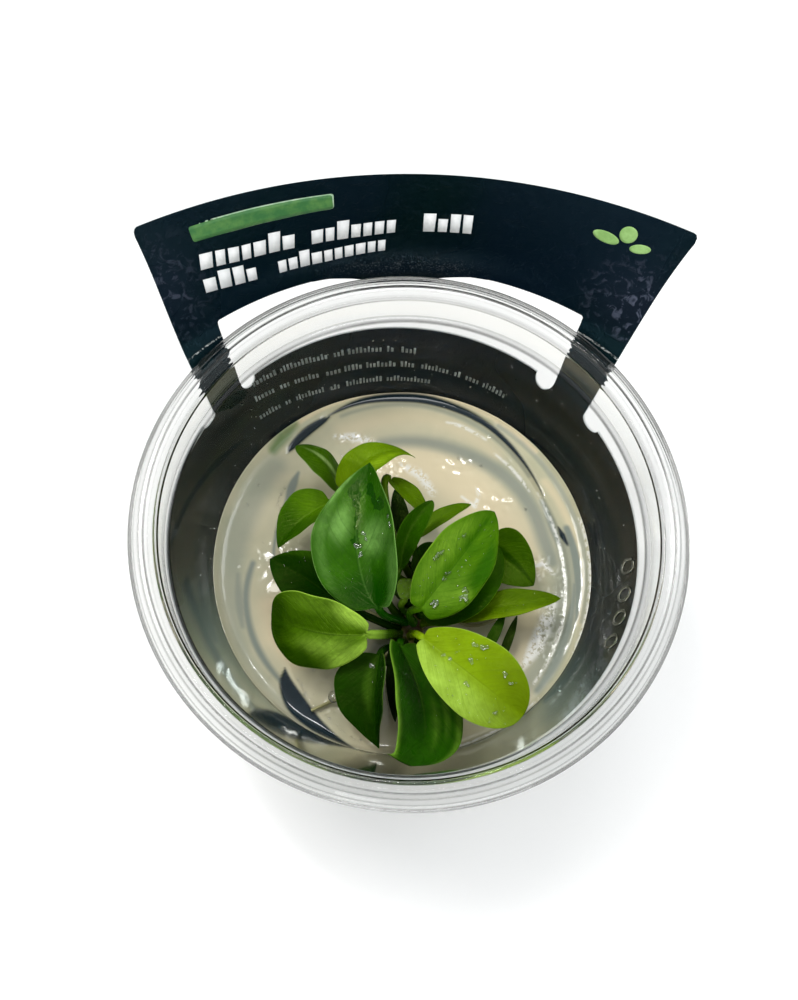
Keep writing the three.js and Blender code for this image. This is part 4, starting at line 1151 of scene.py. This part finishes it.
def make_drops(liquid):
    points, faces = [], []

    def dome(centre, normal, wide, tall, sides, rings, lumpy=0.0):
        """Adds a low drop that sits on a surface."""
        normal = unit(np.array(normal, float))
        right, top = across_frame(normal, np.array((0.4, 0.3, 0.2)))
        first = len(points)
        for k in range(1, rings + 1):
            a = k / rings * math.pi * 0.62
            for b in circle(sides):
                ragged = math.sin(2 * b + first) + 0.6 * math.sin(3 * b + 2 * first)
                reach = wide * (1 + lumpy * ragged)
                flat = reach * math.sin(a) * (math.cos(b) * right + math.sin(b) * top)
                points.append(centre + flat + normal * tall * (math.cos(a) + 0.25))
        points.extend([centre + normal * tall * 1.25, centre - normal * tall * 0.12])
        faces.extend(closed_rings(rings, sides, first))

    leaves = {leaf.name: leaf for leaf in LEAVES}
    for name, places in LARGE_DROPS.items():
        for u, v, wide, tall in places:
            leaf = leaves[name]
            dome(leaf.top(u, v), leaf.normal(u, v), 1.35 * wide, 0.8 * tall, 24, 8, 0.28)
    for name, count in SMALL_DROPS.items():
        leaf = leaves[name]
        for _ in range(count):
            u, v = rng.uniform(-0.85, 0.85), rng.uniform(0.08, 0.92)
            size = rng.uniform(0.08, 0.22)
            dome(leaf.top(u, v), leaf.normal(u, v), size, size * 0.6, 8, 3)
    for x, y in BEADS:
        x, y = x + rng.uniform(-0.3, 0.3), y + rng.uniform(-0.3, 0.3)
        dome(on_gel(x, y), (0, 0, 1), rng.uniform(0.18, 0.38), 0.22, 10, 4)
    dome(np.array(ROOT_DROP), (0, 0, 1), 1.2, 0.9, 20, 8)
    # Fine spray on the wall, then specks in the gel's edge
    for _ in range(70):
        az, z = rng.uniform(-95, 95), rng.uniform(20.5, 35.5)
        inward = -on_cone(az, 0, 0) * (1, 1, 0)
        inward[2] = SPRAY_LEAN * np.linalg.norm(inward)
        size = rng.uniform(0.08, 0.2)
        dome(on_cone(az, z, -0.02), inward, size, size * 0.8, 8, 3)
    for _ in range(60):
        a, r = rng.uniform(0, TURN), rng.uniform(26, 36.5)
        size = rng.choice((0.1, 0.14, 0.2, 0.35))
        dome(on_gel(r * math.sin(a), r * math.cos(a)), (0, 0, 1), size, size * 0.7, 10, 4)
    mesh_piece("water_drops", points, faces, [liquid])


OVAL_PLACES = ((97.7, 33.5), (105.2, 33.3), (111.7, 33.5), (118.5, 33.6))  # azimuth, height
OVAL_WIDE, OVAL_TALL, BEAD_WIDE, BEAD_HIGH = 1.35, 2.1, 0.3, 0.13  # half sizes
OVAL_INSIDE = 0.12  # from the wall


def make_ovals(plastic, sides=8, around=40):
    """Four plain raised ovals formed in the wall."""
    points, faces = [], []
    for az, z in OVAL_PLACES:
        first = len(points)
        outward = unit(on_cone(az, 0, 0) * (1, 1, 0))
        sideways = np.array([outward[1], -outward[0], 0])
        upward = unit(outward * WALL_LEAN + (0, 0, 1))
        centre = on_cone(az, z, -OVAL_INSIDE)
        for a in circle(around):
            cos, sin = math.cos(a), math.sin(a)
            spine = centre + sideways * OVAL_WIDE * cos + upward * OVAL_TALL * sin
            # The wall curves away to both sides
            spine -= outward * (OVAL_WIDE * cos) ** 2 / (2 * cone_radius(z))
            away = unit(sideways * cos / OVAL_WIDE + upward * sin / OVAL_TALL)
            points += [spine + away * BEAD_WIDE * math.cos(b) - outward * BEAD_HIGH * math.sin(b)
                       for b in circle(sides)]
        for i in range(around):
            here, there = first + i * sides, first + (i + 1) % around * sides
            for k in range(sides):
                m = (k + 1) % sides
                faces.append((here + k, there + k, there + m, here + m))
    mesh_piece("wall_ovals", points, faces, [plastic])


# Assembly

rim_plastic = clear_plastic("rim_plastic", 1.46)
make_cup(rim_plastic, clear_plastic("wall_plastic", 1.24, 0.64))
make_ovals(rim_plastic)
make_card(card_print(), card_edge())
make_gel(gel_matter())
make_rhizome(rhizome_bark())
for leaf in LEAVES:
    leaf.build()
make_drops(water())

# Centre and both half axes, each as (turn, height)
HEADER_OVALS = (
    ((0.3942, 61.4467), (0.0282, -0.2039), (0.0072, -1.0922)),
    ((0.419, 63.2589), (0.0043, 1.1419), (0.019, -1.1752)),
    ((0.4624, 61.5212), (0.0141, 0.6486), (0.0098, -0.8107)))
TAG_EDGES = (
    [(-0.412, 61.35), (-0.34, 61.0), (-0.24, 60.95), (-0.1375, 61.3)],
    [(-0.392, 64.5), (-0.33, 64.35), (-0.22, 64.3), (-0.1315, 64.35)])
TAG_BORDER = ([(turn + 0.001, z - 0.05) for turn, z in TAG_EDGES[0]],
              [(turn + 0.0035, z + 0.22) for turn, z in TAG_EDGES[1]])
UPRIGHT = 0.0233  # lean that makes bars stand upright on the header, per mm of height
# Rows of bars: the words' spans, the line below them, height, width, space and lean
HEADER_PRINT = (
    (((-0.462, -0.245), (-0.215, -0.005), (0.045, 0.155)),
     ((-0.475, 55.95), (-0.38, 54.6), (-0.24, 54), (-0.1, 54.2), (0, 54.9), (0.16, 55.4)),
     3.0, 0.024, 0.0075, UPRIGHT),
    (((-0.515, -0.375), (-0.335, -0.05)),
     ((-0.523, 51.4), (-0.44, 50.1), (-0.36, 49.4), (-0.2, 49.4), (-0.045, 50.5)),
     2.6, 0.024, 0.0075, UPRIGHT))
BAND_PRINT = (
    (((-42.5, -35.5), (-34, -20), (-18.5, -16), (-14.5, -5), (-3.5, -1), (0.5, 5)),
     ((-44, 35.6), (-20, 31.8), (5, 29.8)), 1.15, 0.7, 0.45),
    (((-43.5, -37), (-35.5, -32.5), (-31, -23), (-21.5, -17.5), (-16, -11), (-9.5, -1), (0.5, 5),
      (6.5, 15), (16.5, 18.5), (20, 24), (25.5, 33)),
     ((-45, 31.6), (-20, 26.9), (5, 25.8), (34, 24.4)), 1.15, 0.7, 0.45),
    (((-44.5, -37), (-35.5, -33.5), (-32, -22.5), (-21, -17.5), (-16, -5), (-3.5, 10)),
     ((-46, 26.4), (-20, 22.4), (6, 21.6), (20, 21.4)), 1.1, 0.65, 0.45))

sheets("header_tag", ink("tag_green", (92, 142, 76), (62, 118, 66)),
       [patch(on_header, TAG_EDGES, 4, 32, corner=TAG_CORNER)])
sheets("header_ovals", ink("oval_green", (164, 206, 128), (140, 184, 104)),
       [oval(on_header, *place) for place in HEADER_OVALS])
sheets("header_tag_border", ink("tag_border", (206, 226, 200), (150, 190, 150)),
       [patch(on_header, TAG_BORDER, 4, 32, PRINT_LIFT - 0.025, TAG_CORNER)])
sheets("header_bars", ink("white_ink", (255, 255, 255), (243, 245, 245)),
       [bar for row in HEADER_PRINT for bar in bar_row(on_header, *row)])
sheets("band_rows", ink("faint_ink", (186, 194, 190), (130, 140, 136)),
       [bar for row in BAND_PRINT for bar in bar_row(on_band, *row)])


# Floor and light

floor_material = Finish("floor", Roughness=0.9, Specular_IOR_Level=0.1)
floor_material = floor_material.finish(Base_Color=floor_material.layers(
    srgb(247, 247, 247), (floor_material.noise(3, 2), srgb(251, 251, 251))))
bpy.ops.mesh.primitive_grid_add(x_subdivisions=8, y_subdivisions=8, size=6)
floor = bpy.context.object
floor.name = "floor"
floor.data.materials.append(floor_material)

world = bpy.data.worlds.new("studio")
world.use_nodes = True
bpy.context.scene.world = world
sky = world.node_tree
background = sky.nodes["Background"]
height = sky.nodes.new("ShaderNodeSeparateXYZ")
sky.links.new(sky.nodes.new("ShaderNodeTexCoord").outputs["Generated"], height.inputs[0])
fade = sky.nodes.new("ShaderNodeValToRGB")
fade.color_ramp.interpolation = "EASE"
fade.color_ramp.elements.remove(fade.color_ramp.elements[1])
for place, level in ((0.0, 0.03), (0.16, 0.06), (0.34, 0.9), (0.72, 1.0), (0.9, 0.5), (1.0, 0.3)):
    stop = fade.color_ramp.elements[0] if place == 0 else fade.color_ramp.elements.new(place)
    stop.color = (0.98 * level, level, level, 1)
sky.links.new(height.outputs[2], fade.inputs[0])
sky.links.new(fade.outputs[0], background.inputs["Color"])
background.inputs["Strength"].default_value = 1.0


def soft_box(name, place, size, power, colour=(1, 1, 1)):
    light = bpy.data.lights.new(name, "AREA")
    light.shape, light.size, light.size_y = "RECTANGLE", size[0], size[1]
    light.energy, light.color = power, colour
    lamp = bpy.data.objects.new(name, light)
    bpy.context.collection.objects.link(lamp)
    lamp.location = place
    lamp.rotation_euler = (Vector((0, 0, 0.02)) - Vector(place)).to_track_quat("-Z", "Y").to_euler()


soft_box("key", (-0.62, 0.5, 1.3), (0.5, 0.7), 7.0, (1, 0.98, 0.95))
soft_box("fill", (0.8, 0.3, 1.15), (0.45, 0.7), 2.4, (0.96, 0.98, 1))
soft_box("front", (0.12, -1.0, 0.85), (1.1, 0.45), 6.0, (0.98, 0.99, 1))
soft_box("strip", (0.2, 0.75, 1.15), (0.5, 0.06), 2.4)
soft_box("lamp", (-0.42, 0.5, 1.2), (0.12, 0.3), 2.8)

bpy.context.scene.view_settings.view_transform = "Standard"
